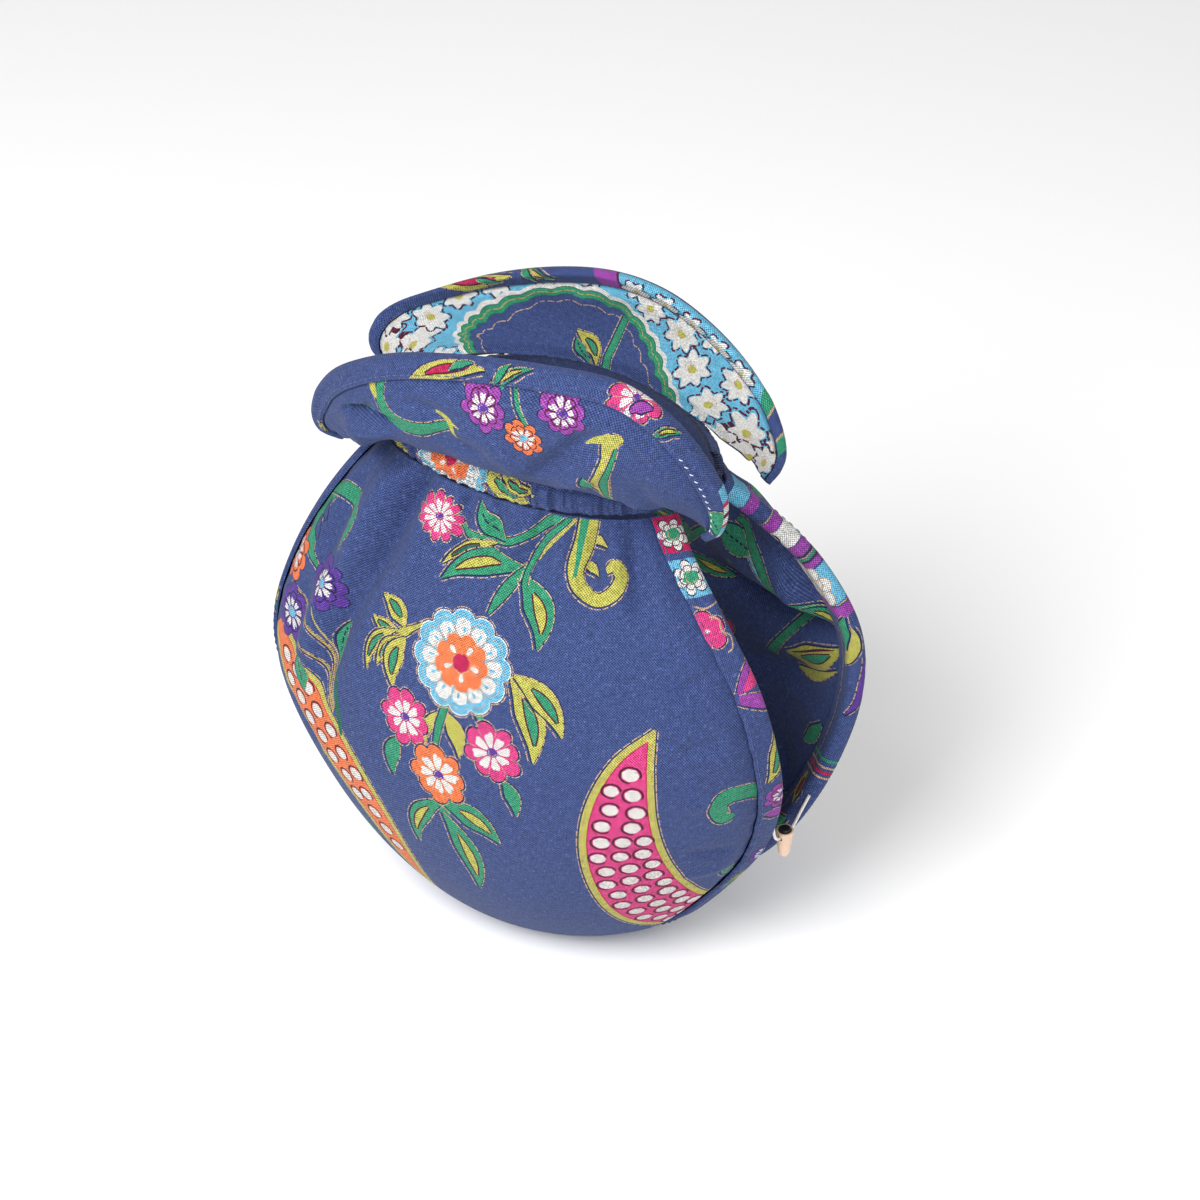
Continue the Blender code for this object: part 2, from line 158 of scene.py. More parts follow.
def along_rows(rows, place):
    """Points on the smooth curve through the rows, at places counted in rows."""
    rows = np.asarray(rows, float)
    last = len(rows) - 1
    place = np.clip(np.asarray(place, float), 0.0, last)
    start = np.minimum(place.astype(int), last - 1)
    t = (place - start)[..., None]
    before, here, there, after = (rows[np.clip(start + k, 0, last)] for k in (-1, 0, 1, 2))
    return 0.5 * (2 * here + (there - before) * t + (2 * before - 5 * here + 4 * there - after) * t ** 2
                  + (3 * here - before - 3 * there + after) * t ** 3)


def fade(value, start, end):
    """0 before start, 1 after end, smooth between."""
    t = np.clip((np.asarray(value, float) - start) / (end - start), 0.0, 1.0)
    return t * t * (3 - 2 * t)


def spot(x, y, z):
    return np.stack(np.broadcast_arrays(x, y, z), -1).astype(float)


def unit(vectors):
    return vectors / np.maximum(np.linalg.norm(vectors, axis=-1, keepdims=True), 1e-9)


def signed(level, side):
    """A level with its distances out turned into Y."""
    return level._replace(mid_out=side * level.mid_out, left_out=side * level.left_out,
                          right_out=side * level.right_out)


STRIP = [signed(row, -1) for row in reversed(FRONT)] + [BASE] + [signed(row, 1) for row in BACK]


def strip_point(across, level):
    """Outer face of the strip: across runs from -1 left to 1 right, level from -10 front to 10 back."""
    across = np.asarray(across, float)
    row = Level(*np.moveaxis(along_rows(STRIP, np.asarray(level, float) + TOP_LEVEL), -1, 0))
    wrap = np.radians(row.wrap)
    angle = np.abs(across) * wrap
    share = (np.cos(angle) - np.cos(wrap)) / (1 - np.cos(wrap))
    reach = np.sin(angle) / np.sin(wrap)
    left = across < 0
    end_x = np.where(left, row.left_x, row.right_x)
    end_y = np.where(left, row.left_out, row.right_out)
    end_z = np.where(left, row.left_z, row.right_z)
    z = end_z + (row.mid_z - end_z) * share
    return spot(end_x * reach, end_y + (row.mid_out - end_y) * share, np.maximum(z, 0.0))


def face_normal(surface, a, b, step=0.01):
    """Unit normals of a surface function, pointing away from the pot."""
    along = surface(a + step, b) - surface(a - step, b)
    down = surface(a, b + step) - surface(a, b - step)
    return unit(np.cross(down, along))


def strip_normal(across, level):
    across = np.clip(across, -0.99, 0.99)
    level = np.clip(level, -TOP_LEVEL + 0.02, TOP_LEVEL - 0.02)
    return face_normal(strip_point, across, level)


def neck_point(across, side, height, inward):
    """Points above the strip's neck edge, drawn in towards the pot."""
    level = side * TOP_LEVEL + np.zeros_like(np.asarray(across, float))
    flat = unit(strip_normal(across, level) * (1, 1, 0))
    return strip_point(across, level) - flat * np.asarray(inward)[..., None] + spot(0, 0, height)


def flap_flat(flap, around, rise):
    """A flap before it is puffed: around runs -1 left to 1 right, rise from 0 at the foot to 1 at the rim."""
    around = np.asarray(around, float)
    rim = along_rows(flap.rim, (np.clip(around, -1, 1) + 1) / 2 * (len(flap.rim) - 1))
    share = np.minimum(np.abs(around), 1.0)
    across = np.sign(around) * np.minimum(share / FREE_FROM, 1.0) * SEWN_TO
    end = np.where(around[..., None] < 0, np.array(flap.left_end, float), np.array(flap.right_end, float))
    foot = neck_point(across, flap.side, CASING_HIGH + FOOT_LIFT, CASING_LEAN + 0 * across)
    foot = foot + (end * (1, flap.side, 1) - foot) * fade(share, FREE_FROM - 0.1, 1.0)[..., None]
    return foot + (rim * (1, flap.side, 1) - foot) * np.asarray(rise)[..., None]


def flap_normal(flap, around, rise):
    around = np.clip(around, -0.92, 0.92)
    rise = np.clip(rise, 0.4, 0.6)
    return flap.side * face_normal(lambda a, b: flap_flat(flap, a, b), around, rise)


def flap_point(flap, around, rise):
    """Outer face of a puffed flap."""
    puff = flap.puff * np.maximum(4 * rise * (1 - rise), 0.0) ** 0.7 * (1 - fade(np.abs(around), 0.45, 0.95))
    swollen = flap_flat(flap, around, rise) + flap_normal(flap, around, rise) * puff[..., None]
    return swollen + spot(0, 0, -0.2 * puff)


def flap_taper(around):
    """What is left of a flap's tape width and padding towards its ends."""
    return 1 - TIP_TAPER * fade(np.abs(around), 0.6, 0.92)


def flap_thick(around):
    return 2 * PINCH + (FLAP_THICK - 2 * PINCH) * flap_taper(around)


def flap_rise(flap, around, inset):
    """The rise value that lies an inset in from the flap's rim, less where the flap is narrow."""
    ones = np.ones_like(np.asarray(around, float))
    inner = flap_point(flap, around, 0.6 * ones)
    span = np.linalg.norm(flap_point(flap, around, ones) - inner, axis=-1) / 0.4
    return 1 - np.minimum(inset * flap_taper(around) / span, 0.55 * inset / (TAPE_WIDE + PINCH_FADE))


def past_edge(points, inner, beyond):
    """Points moved out past an edge, along the lines from points further in."""
    return points + unit(points - inner) * np.asarray(beyond)[..., None]


# ---------------------------------------------------------------- the strip laid flat

LEVELS = np.linspace(-TOP_LEVEL, TOP_LEVEL, 801)


def run_of(points):
    """Distance along a line of points, from 0 at its start."""
    return np.concatenate([[0.0], np.cumsum(np.linalg.norm(np.diff(points, axis=0), axis=-1))])


STRIP_RUN = run_of(strip_point(0 * LEVELS, LEVELS))
STRIP_LONG = float(STRIP_RUN[-1])
STRIP_MIDDLE = float(np.interp(0.0, LEVELS, STRIP_RUN))


def half_width(side):
    """Width from the strip's middle to one edge, for each of the levels."""
    steps = np.linspace(0.0, side, 41)[:, None]
    points = strip_point(steps, LEVELS[None, :])
    return np.linalg.norm(np.diff(points, axis=0), axis=-1).sum(0)


HALF_LEFT = half_width(-1)
HALF_RIGHT = half_width(1)


def strip_half(x, y):
    """Width from the middle to the edge on the side of x, at y along the strip."""
    left, right = np.interp(y, STRIP_RUN, HALF_LEFT), np.interp(y, STRIP_RUN, HALF_RIGHT)
    return np.where(np.asarray(x) < 0, left, right)


# ---------------------------------------------------------------- folds and gathers

# A soft fold in flat cloth: a ridge, or a valley where its height is negative, from one place to another.
Fold = namedtuple("Fold", "start end wide high")


def folds_of(*rows):
    """Folds from rows of start x and y, end x and y, width and height."""
    return [Fold(row[:2], row[2:4], *row[4:]) for row in rows]


def fold_relief(folds, x, y):
    """How far the folds lift flat cloth at each place."""
    lift = np.zeros(np.broadcast(x, y).shape)
    for fold in folds:
        start, end = np.array(fold.start, float), np.array(fold.end, float)
        along = end - start
        long = np.linalg.norm(along)
        share = ((x - start[0]) * along[0] + (y - start[1]) * along[1]) / long ** 2
        apart = np.abs((x - start[0]) * along[1] - (y - start[1]) * along[0]) / long
        body = np.exp(-(apart / fold.wide) ** 2)
        lift = lift + fold.high * body * fade(share, -0.15, 0.25) * (1 - fade(share, 0.7, 1.15))
    return lift


def ripple(value, seed):
    """A smooth uneven wave between about -1 and 1, the same for the same seed."""
    value = np.asarray(value, float)
    return (0.5 * np.sin(value + seed) + 0.3 * np.sin(1.73 * value + 2.1 * seed)
            + 0.2 * np.sin(3.1 * value + 0.7 * seed))


FRONT_FOLDS = folds_of(
    # the long slack fold at the left, from the neck towards the corner
    (-30, 0, -43, 52, 4.5, -7.0), (-43, 44, -61, 108, 6.0, -6.0),
    (-42, 6, -53, 50, 5.0, 4.2), (-53, 46, -73, 104, 6.5, 4.0), (-21, 2, -26, 44, 4.5, 3.6),
    (-60, 12, -70, 60, 5.5, -2.8), (-52, 10, -57, 46, 4.5, 1.6), (-72, 66, -80, 104, 6.0, -1.8),
    # short ones drawn up by the casing
    (4, 0, 1, 28, 2.8, -2.8), (11, 0, 9, 20, 2.6, 1.6), (20, 0, 14, 26, 3.0, -3.6),
    (27, 0, 25, 24, 2.6, 2.4), (38, 0, 36, 30, 3.4, -4.0), (50, 2, 57, 36, 3.8, -3.2),
    (44, 2, 46, 24, 2.8, 2.0), (-8, 0, -11, 22, 2.6, -2.8), (62, 6, 70, 40, 4.0, 1.2),
    # where the tape pulls
    (92, 58, 74, 62, 3.0, -1.5), (98, 84, 80, 86, 3.0, -1.4), (108, 150, 88, 140, 3.6, -1.6),
    (104, 162, 84, 156, 3.5, 1.2), (-86, 130, -64, 142, 4.0, -1.4), (100, 112, 84, 112, 3.0, 0.9),
)
BACK_FOLDS = [Fold((x, 509 - y), (end, 509 - deep), wide, high) for x, y, end, deep, wide, high in (
    (-34, 2, -40, 60, 5.0, -3.4), (-22, 3, -24, 40, 5.0, 2.2), (24, 1, 22, 30, 3.4, -2.4),
    (44, 1, 50, 48, 5.0, -3.0), (-6, 0, -8, 22, 3.0, -1.8), (62, 10, 70, 50, 5.0, 1.8),
    (4, 2, 6, 26, 3.4, 1.4))]
BACK_INNER_FOLDS = folds_of(
    # the slack inner face hangs over inside the spout opening
    (38, 458, 132, 450, 13.0, 17.0), (36, 433, 124, 431, 6.5, -12.0),
    (48, 408, 106, 420, 8.0, 6.0), (46, 391, 92, 404, 5.0, -4.5),
    (66, 500, 56, 462, 5.5, -4.0), (84, 484, 90, 448, 5.5, 3.4), (104, 350, 66, 372, 6.0, -3.6),
    (112, 336, 76, 354, 5.0, 3.0), (110, 384, 70, 392, 5.0, 2.6),
)
FLAP_FRONT_FOLDS = folds_of(
    # the full left end, and the creases beside it
    (-102, 30, -50, 46, 14.0, 5.5), (-58, 10, -31, 29, 3.2, -5.0), (-64, 22, -36, 38, 5.0, 3.4),
    (-26, 6, -10, 28, 4.2, -2.8), (-19, 30, 0, 42, 4.5, -2.2), (-8, 24, 8, 36, 5.0, 1.6),
    (20, 46, 29, 12, 4.0, -3.6), (33, 48, 38, 20, 6.0, 3.2), (4, 36, 17, 48, 5.0, 2.2),
    (52, 24, 76, 42, 6.0, -1.8), (-44, 5, -39, 18, 4.0, -1.6), (60, 40, 80, 50, 6.0, 1.6),
)
FLAP_BACK_FOLDS = folds_of(
    (-1, 8, -7, 54, 4.0, -3.4), (12, 14, 5, 52, 5.5, 2.2), (-34, 14, -27, 50, 5.5, -1.8),
    (45, 20, 33, 52, 5.5, -2.2), (67, 16, 57, 48, 6.0, 1.8), (-66, 12, -56, 42, 6.0, 1.6),
    (-50, 8, -46, 30, 4.0, -1.2), (82, 20, 76, 44, 5.0, -1.4),
)


def panel_place(x, y, face):
    """Where the padded strip's flat cloth goes: face 0 is the outside and face 1 the inside."""
    half = strip_half(x, y)
    across = x / half
    level = np.interp(y, STRIP_RUN, LEVELS)
    inset = half - np.abs(x)
    lap = (TAPE_WIDE - (HANDLE_TRIM + handle_cut(y)) * ((x < 0) & (face == 0))
           + SPOUT_SPREAD * spout_reach(y) * ((x > 0) & (face == 1)))
    drawn = PINCH * (1 - fade(inset, lap - 1.5, lap + PINCH_FADE + 3))
    neck = np.minimum(y, STRIP_LONG - y)
    drawn = np.maximum(drawn, PINCH * (1 - fade(neck, 0.0, 9.0)))
    free = fade(inset, lap, lap + 14)
    gathers = 1.0 * ripple(x / 3.4, 0.8 + 0.01 * y) * (1 - fade(neck, 2.0, 30.0))
    gathers = gathers + 0.9 * ripple(x / 8.0, 2.4) * (1 - fade(neck, 8.0, 75.0))
    pucker = 0.22 * np.sin(y / 2.3) * (1 - fade(np.abs(inset - lap), 0.5, 5.0))
    folds = fold_relief(FRONT_FOLDS if face == 0 else [], x, y) * (y < STRIP_MIDDLE)
    folds = folds + fold_relief(BACK_INNER_FOLDS if face == 1 else BACK_FOLDS, x, y) * (y > STRIP_MIDDLE)
    lift = (gathers + folds) * free + pucker
    base = strip_point(across, level)
    normal = strip_normal(across, level)
    if face == 0:
        depth = drawn - lift
    else:
        depth = PANEL_THICK - drawn + np.where(y < STRIP_MIDDLE, -lift, lift) * 0.6
    points = base - normal * depth[..., None]
    if face == 0:
        points[..., 2] = np.maximum(points[..., 2], 0.0)
    return points


def tape_line(thick, face):
    """A folded tape's cross-section as rows of inset and depth, from its front lap to its back lap."""
    if face == 0:
        near, far, turn, reach, round_at = 0.0, thick, -0.4, FOLD_OUT, 0.19
    else:
        near, far, turn, reach, round_at = TAPE_THICK, thick - TAPE_THICK, -0.1, FOLD_OUT - TAPE_THICK, 0.27
    laps = (TAPE_WIDE, TAPE_WIDE - 1.0, 6.0, 2.5, turn)
    fold = [(-0.85 * reach, round_at * thick), (-reach, 0.5 * thick), (-0.85 * reach, (1 - round_at) * thick)]
    return [(inset, near) for inset in laps] + fold + [(inset, far) for inset in reversed(laps)]


TAPE_RUN = run_of(np.array(tape_line(PANEL_THICK, 0)))
TAPE_FLAT = float(TAPE_RUN[-1])


def tape_section(x, thick, face):
    """Inset and depth of a tape at x across its flat width; thick is what it laps, at each place."""
    place = np.interp(x, TAPE_RUN, np.arange(len(TAPE_RUN)))
    thin, full = (along_rows(tape_line(t, face), place) for t in (2 * PINCH, PANEL_THICK))
    share = ((thick - 2 * PINCH) / (PANEL_THICK - 2 * PINCH))[..., None]
    section = thin + (full - thin) * share
    return section[..., 0], section[..., 1]


def turned_in(x, low, high):
    """How far a tape's two long edges dip into the cloth that they lap."""
    return 0.55 * (1 - fade(np.minimum(x - low, high - x), 0.0, 1.2))


def side_tape_sides(edge):
    """Where a side tape's flat width starts and ends."""
    return (HANDLE_TRIM, TAPE_FLAT) if edge < 0 else (0.0, TAPE_FLAT + SPOUT_SPREAD)


def handle_cut(y):
    """How much narrower the handle side's outer lap is below the neck."""
    return HANDLE_CUT * fade(y, HANDLE_CUT_FROM, HANDLE_CUT_TO)


def spout_reach(y):
    """How much the spout side's inner lap is stretched, at each place along it."""
    return 1 + SPOUT_STRETCH * np.exp(-((y - SPOUT_STRETCH_AT) / SPOUT_STRETCH_LONG) ** 2)


def side_tape_place(edge):
    """Placing of the tape round one side edge of the strip, y along the edge."""
    run = run_of(strip_point(edge + 0 * LEVELS, LEVELS))

    def place(x, y, face):
        x, y = np.broadcast_arrays(x, y)
        level = np.interp(y, run, LEVELS)
        inset, depth = tape_section(x, np.full(x.shape, PANEL_THICK), face)
        inset = inset + np.maximum(x - TAPE_FLAT, 0.0) * spout_reach(y)
        if edge < 0:
            inset = inset - handle_cut(y) * np.clip((TAPE_WIDE - x) / (TAPE_WIDE - HANDLE_TRIM), 0.0, 1.0)
        dip = turned_in(x, *side_tape_sides(edge))
        depth = depth + np.where(x < TAPE_FLAT / 2, dip, -dip)
        lap = fade(inset, 1.0, TAPE_WIDE)
        inset = inset + 0.35 * ripple(y / 2.6, 3.0 + edge) * lap
        depth = depth - 0.12 * ripple(y / 1.9, 1.0) * lap * (1 if face == 0 else 0)
        half = np.where(edge > 0, np.interp(level, LEVELS, HALF_RIGHT), np.interp(level, LEVELS, HALF_LEFT))
        base = strip_point(edge * (1 - np.maximum(inset, 0.0) / half), level)
        further = strip_point(edge * (1 - 3.0 / half), level)
        base = np.where((inset < 0)[..., None], past_edge(base, further, np.maximum(-inset, 0.0)), base)
        points = base - strip_normal(edge * (1 - np.maximum(inset, 0.0) / half), level) * depth[..., None]
        return points

    return place, float(run[-1])


def casing_place(side):
    """Placing of the gathered casing: x along it from its left, y up from its lower edge."""
    across_table = np.linspace(-1, 1, 401)
    run = run_of(neck_point(across_table, side, 6.0, PINCH + 0 * across_table))

    def place(x, y, face):
        x, y = np.broadcast_arrays(x, y)
        across = np.interp(x, run, across_table)
        share = y / CASING_HIGH
        pleats = 0.90 * ripple(x / 0.70, 5.0) + 1.0 * ripple(x / 1.4 + 0.4 * np.sin(y / 4), 1.3)
        wave = pleats * (1 - across ** 8) * (0.60 + 0.40 * np.sin(math.pi * share))
        seam = 0.55 * np.exp(-((y - LOWER_SEAM) / 0.5) ** 2) + 0.45 * np.exp(-((y - UPPER_SEAM) / 0.5) ** 2)
        belly = 1.9 * np.sin(math.pi * np.clip(share, 0, 1)) ** 0.6
        inward = PINCH + CASING_LEAN * share
        if face == 0:
            inward = inward - belly - wave + seam + 0.3
        else:
            inward = inward + CASING_THICK - 0.5 * belly
        height = SEAM_GAP + y * (CASING_HIGH - SEAM_GAP) / CASING_HIGH
        points = neck_point(across, side, 0 * x, inward)
        points[..., 2] += height + 0.25 * ripple(x / 1.1, 4.0) * (1 - share) * (1 - across ** 8)
        return points

    return place, float(run[-1])


def flap_place(flap, folds):
    """Placing of a padded flap: x from its left end to its right, y down from its rim to its foot."""

    def place(x, y, face):
        x, y = np.broadcast_arrays(x, y)
        around = x / FLAP_WIDE
        up = 1 - y / FLAP_HIGH
        rim_edge = flap_rise(flap, around, 0.8 + 0 * x)
        rise = rim_edge * up
        inset = (1 - up) * FLAP_HIGH
        lap = TAPE_WIDE - RIM_TRIM - 1.0
        drawn = PINCH * (1 - fade(inset, lap, lap + PINCH_FADE + 2))
        foot = PINCH * (1 - fade(rise, 0.0, FOOT_FADE))
        tip = fade(np.abs(around), 0.85, 1.0)
        drawn = np.maximum(np.maximum(drawn, foot), PINCH * tip)
        free = fade(inset, 9.0, 16.0) * (1 - tip)
        gathers = 0.9 * ripple(x / 5.2, 1.9) * (1 - fade(rise, 0.1, 0.5)) * fade(rise, 0.02, 0.12)
        lift = (fold_relief(folds, x, y) + gathers) * free
        if face == 0:
            depth = drawn - lift
        else:
            depth = flap_thick(around) - drawn - 0.5 * lift
        points = flap_point(flap, around, rise) - flap_normal(flap, around, rise) * depth[..., None]
        points[..., 2] -= FOOT_SINK * (1 - fade(rise, 0.0, 0.12))
        return points

    return place


def rim_tape_place(flap):
    """Placing of the tape round a flap's rim, y along the rim from its left end to its right."""
    turns = np.linspace(-1, 1, 401)
    run = run_of(flap_point(flap, turns, np.ones_like(turns)))

    def place(x, y, face):
        x, y = np.broadcast_arrays(x, y)
        around = np.interp(y, run, turns)
        inset, depth = tape_section(x, flap_thick(around), face)
        dip = turned_in(x, RIM_TRIM, TAPE_FLAT - RIM_TRIM)
        depth = depth + np.where(x < TAPE_FLAT / 2, dip, -dip)
        lap = fade(inset, 1.0, TAPE_WIDE)
        inset = inset + 0.3 * ripple(y / 2.4, 2.0 + flap.side) * lap
        rise = flap_rise(flap, around, np.maximum(inset, 0.0))
        base = flap_point(flap, around, rise)
        middle = flap_flat(flap, around, np.full(x.shape, 0.5))
        base = np.where((inset < 0)[..., None], past_edge(base, middle, np.maximum(-inset, 0.0)), base)
        return base - flap_normal(flap, around, rise) * depth[..., None]

    return place, float(run[-1])


# ---------------------------------------------------------------- inks

GROUND = "navy"
EDGE_STEP = 2.0

# The print's inks as they look in daylight, and how metallic each is.
INKS = {
    "navy": (0.238, 0.312, 0.530, 0.0),
    "green": (0.200, 0.600, 0.450, 0.0),
    "deep_green": (0.100, 0.420, 0.320, 0.0),
    "lime": (0.765, 0.755, 0.350, 0.0),
    "white": (0.905, 0.900, 0.885, 0.0),
    "sky": (0.430, 0.745, 0.880, 0.0),
    "orange": (0.955, 0.490, 0.285, 0.0),
    "magenta": (0.875, 0.255, 0.530, 0.0),
    "crimson": (0.760, 0.110, 0.340, 0.0),
    "purple": (0.370, 0.220, 0.620, 0.0),
    "violet": (0.620, 0.270, 0.670, 0.0),
    "plum": (0.330, 0.070, 0.180, 0.0),
    "ink_blue": (0.110, 0.130, 0.300, 0.0),
    "gold": (0.800, 0.680, 0.560, 0.6),
    "stripe_gold": (0.760, 0.670, 0.380, 0.3),
}


def linear(level):
    """A screen colour's level as light."""
    return level / 12.92 if level <= 0.04045 else ((level + 0.055) / 1.055) ** 2.4


# The share of an ink's light that matt cotton gives back.
INK_DEPTH = 0.62
INK_COLOURS = {name: (*(INK_DEPTH * linear(level) for level in (red, green, blue)), metal)
               for name, (red, green, blue, metal) in INKS.items()}


# ---------------------------------------------------------------- cloth laid flat, and its print


class Cloth:
    """A flat piece of cloth, and place(x, y, face), which gives where each point of a face is sewn."""

    def __init__(self, low, high, left, right, place):
        self.low, self.high, self.left, self.right, self.place = low, high, left, right, place
        self.table = None

    def outline(self, step):
        """The cloth's edge, anticlockwise, in steps of about the given length."""
        rows = max(int((self.high - self.low) / step), 2)
        y = np.linspace(self.low, self.high, rows + 1)
        sides = []
        for level in (self.low, self.high):
            wide = self.right(level) - self.left(level)
            sides.append(np.linspace(self.left(level), self.right(level), max(int(wide / step), 2) + 1))
        lower = np.column_stack([sides[0][:-1], np.full(len(sides[0]) - 1, self.low)])
        right = np.column_stack([self.right(y), y])[:-1]
        upper = np.column_stack([sides[1][::-1], np.full(len(sides[1]), self.high)])[:-1]
        left = np.column_stack([self.left(y[::-1]), y[::-1]])[:-1]
        return np.concatenate([lower, right, upper, left])

    def held(self, points, margin):
        """The points moved to lie at least a margin inside the cloth."""
        points = np.array(points, float)
        points[:, 1] = np.clip(points[:, 1], self.low + margin, self.high - margin)
        low, high = self.left(points[:, 1]) + margin, self.right(points[:, 1]) - margin
        points[:, 0] = np.clip(points[:, 0], low, high)
        return points

    def within(self, points, margin):
        x, y = points[:, 0], points[:, 1]
        level = (y > self.low + margin) & (y < self.high - margin)
        return level & (x > self.left(y) + margin) & (x < self.right(y) - margin)

    def ease(self, points):
        """For each point, the matrix from sewn millimetres to flat ones, from a table made once."""
        if self.table is None:
            wide = self.outline(EDGE_STEP)
            self.corner, size = wide.min(0), np.ptp(wide, axis=0)
            self.cells = np.maximum((size / 2.5).astype(int), 2)
            self.cell = size / self.cells
            x, y = np.meshgrid(*[np.arange(count + 1) for count in self.cells], indexing="ij")
            nodes = self.corner + np.column_stack([x.ravel(), y.ravel()]) * self.cell
            self.table = self.eased(nodes).reshape(*(self.cells + 1), 2, 2)
        place = (self.held(points, 0.0) - self.corner) / self.cell
        start = np.clip(place.astype(int), 0, self.cells - 1)
        share = np.clip(place - start, 0, 1)[:, :, None, None]
        x, y = start.T
        near = self.table[x, y] * (1 - share[:, 1]) + self.table[x, y + 1] * share[:, 1]
        far = self.table[x + 1, y] * (1 - share[:, 1]) + self.table[x + 1, y + 1] * share[:, 1]
        return near * (1 - share[:, 0]) + far * share[:, 0]

    def eased(self, points):
        """The matrices of ease, worked out at each point from how the cloth is sewn."""
        step = 0.8
        x, y = self.held(points, step + 0.2).T
        along = (self.place(x + step, y, 0) - self.place(x - step, y, 0)) / (2 * step)
        down = (self.place(x, y + step, 0) - self.place(x, y - step, 0)) / (2 * step)
        first = unit(along)
        skew = (down * first).sum(-1)
        rest = np.linalg.norm(down - first * skew[:, None], axis=-1)
        sewn = np.zeros((len(points), 2, 2))
        sewn[:, 0, 0] = np.linalg.norm(along, axis=-1)
        sewn[:, 0, 1] = skew
        sewn[:, 1, 1] = rest
        return np.linalg.inv(sewn)


def inside(outline, points):
    """Which of the points an outline winds round."""
    turns = np.zeros(len(points), int)
    for (x, y), (next_x, next_y) in zip(outline, np.roll(outline, -1, axis=0)):
        left = (next_x - x) * (points[:, 1] - y) - (points[:, 0] - x) * (next_y - y) > 0
        turns += (y <= points[:, 1]) & (points[:, 1] < next_y) & left
        turns -= (next_y <= points[:, 1]) & (points[:, 1] < y) & ~left
    return turns != 0


def cut_out(cloth, shapes, step):
    """Triangles of the flat cloth, cut along its print: points, triangles, colours and its edge's points."""
    edge = cloth.outline(EDGE_STEP)
    outlines = [edge] + [shape for shape, ink in shapes]
    print_points = np.concatenate(outlines)
    near = kdtree.KDTree(len(print_points))
    for index, (x, y) in enumerate(print_points):
        near.insert((x, y, 0.0), index)
    near.balance()
    low_x, high_x = edge[:, 0].min(), edge[:, 0].max()
    rows = np.arange(cloth.low + 0.5 * step, cloth.high, 0.87 * step)
    lines = [(np.arange(low_x + (row % 2) * 0.5 * step, high_x, step), y) for row, y in enumerate(rows)]
    field = np.concatenate([np.column_stack([x, np.full(len(x), y)]) for x, y in lines])
    field = field[cloth.within(field, 0.4 * step)]
    field = [(x, y) for x, y in field if near.find((x, y, 0.0))[2] > 0.42 * step]
    points = [Vector(point) for point in np.concatenate([print_points, np.array(field).reshape(-1, 2)])]
    sides, start = [], 0
    for outline in outlines:
        ring = np.arange(start, start + len(outline))
        sides += np.column_stack([ring, np.roll(ring, -1)]).tolist()
        start += len(outline)
    found, _, triangles, sources, _, _ = geometry.delaunay_2d_cdt(points, sides, [], 0, 1e-4, True)
    flat = np.array([(point.x, point.y) for point in found])
    triangles = np.array(triangles)
    middles = flat[triangles].mean(axis=1)
    kept = np.flatnonzero(inside(edge, middles))
    kept = kept[np.argsort(middles[kept, 1], kind="stable")]
    triangles, middles = triangles[kept], middles[kept]
    tints = np.tile(INK_COLOURS[GROUND], (len(triangles), 1))
    for shape, ink in shapes:
        first, last = np.searchsorted(middles[:, 1], (shape[:, 1].min(), shape[:, 1].max()))
        x = middles[first:last, 0]
        close = first + np.flatnonzero((x > shape[:, 0].min()) & (x < shape[:, 0].max()))
        tints[close[inside(shape, middles[close])]] = INK_COLOURS[ink]
    where = {}
    for index, source in enumerate(sources):
        for item in source:
            where[item] = index
    rim = [where[index] for index in range(len(edge))]
    return flat, triangles, tints, rim


def ring_of(cloth, face, spots, outward):
    """Sewn points and outward normals of flat places on one face of a cloth."""
    x, y = spots.T
    points = cloth.place(x, y, face)
    step = 0.3
    x, y = cloth.held(spots, step + 0.02).T
    along = cloth.place(x + step, y, face) - cloth.place(x - step, y, face)
    down = cloth.place(x, y + step, face) - cloth.place(x, y - step, face)
    return points, unit(np.cross(along, down)) * outward


def shown(name, mesh, finish):
    """The mesh as a piece of the scene that rides on the cosy."""
    mesh.materials.append(finish)
    piece = bpy.data.objects.new(name, mesh)
    bpy.context.scene.collection.objects.link(piece)
    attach(piece, "root")
    return piece


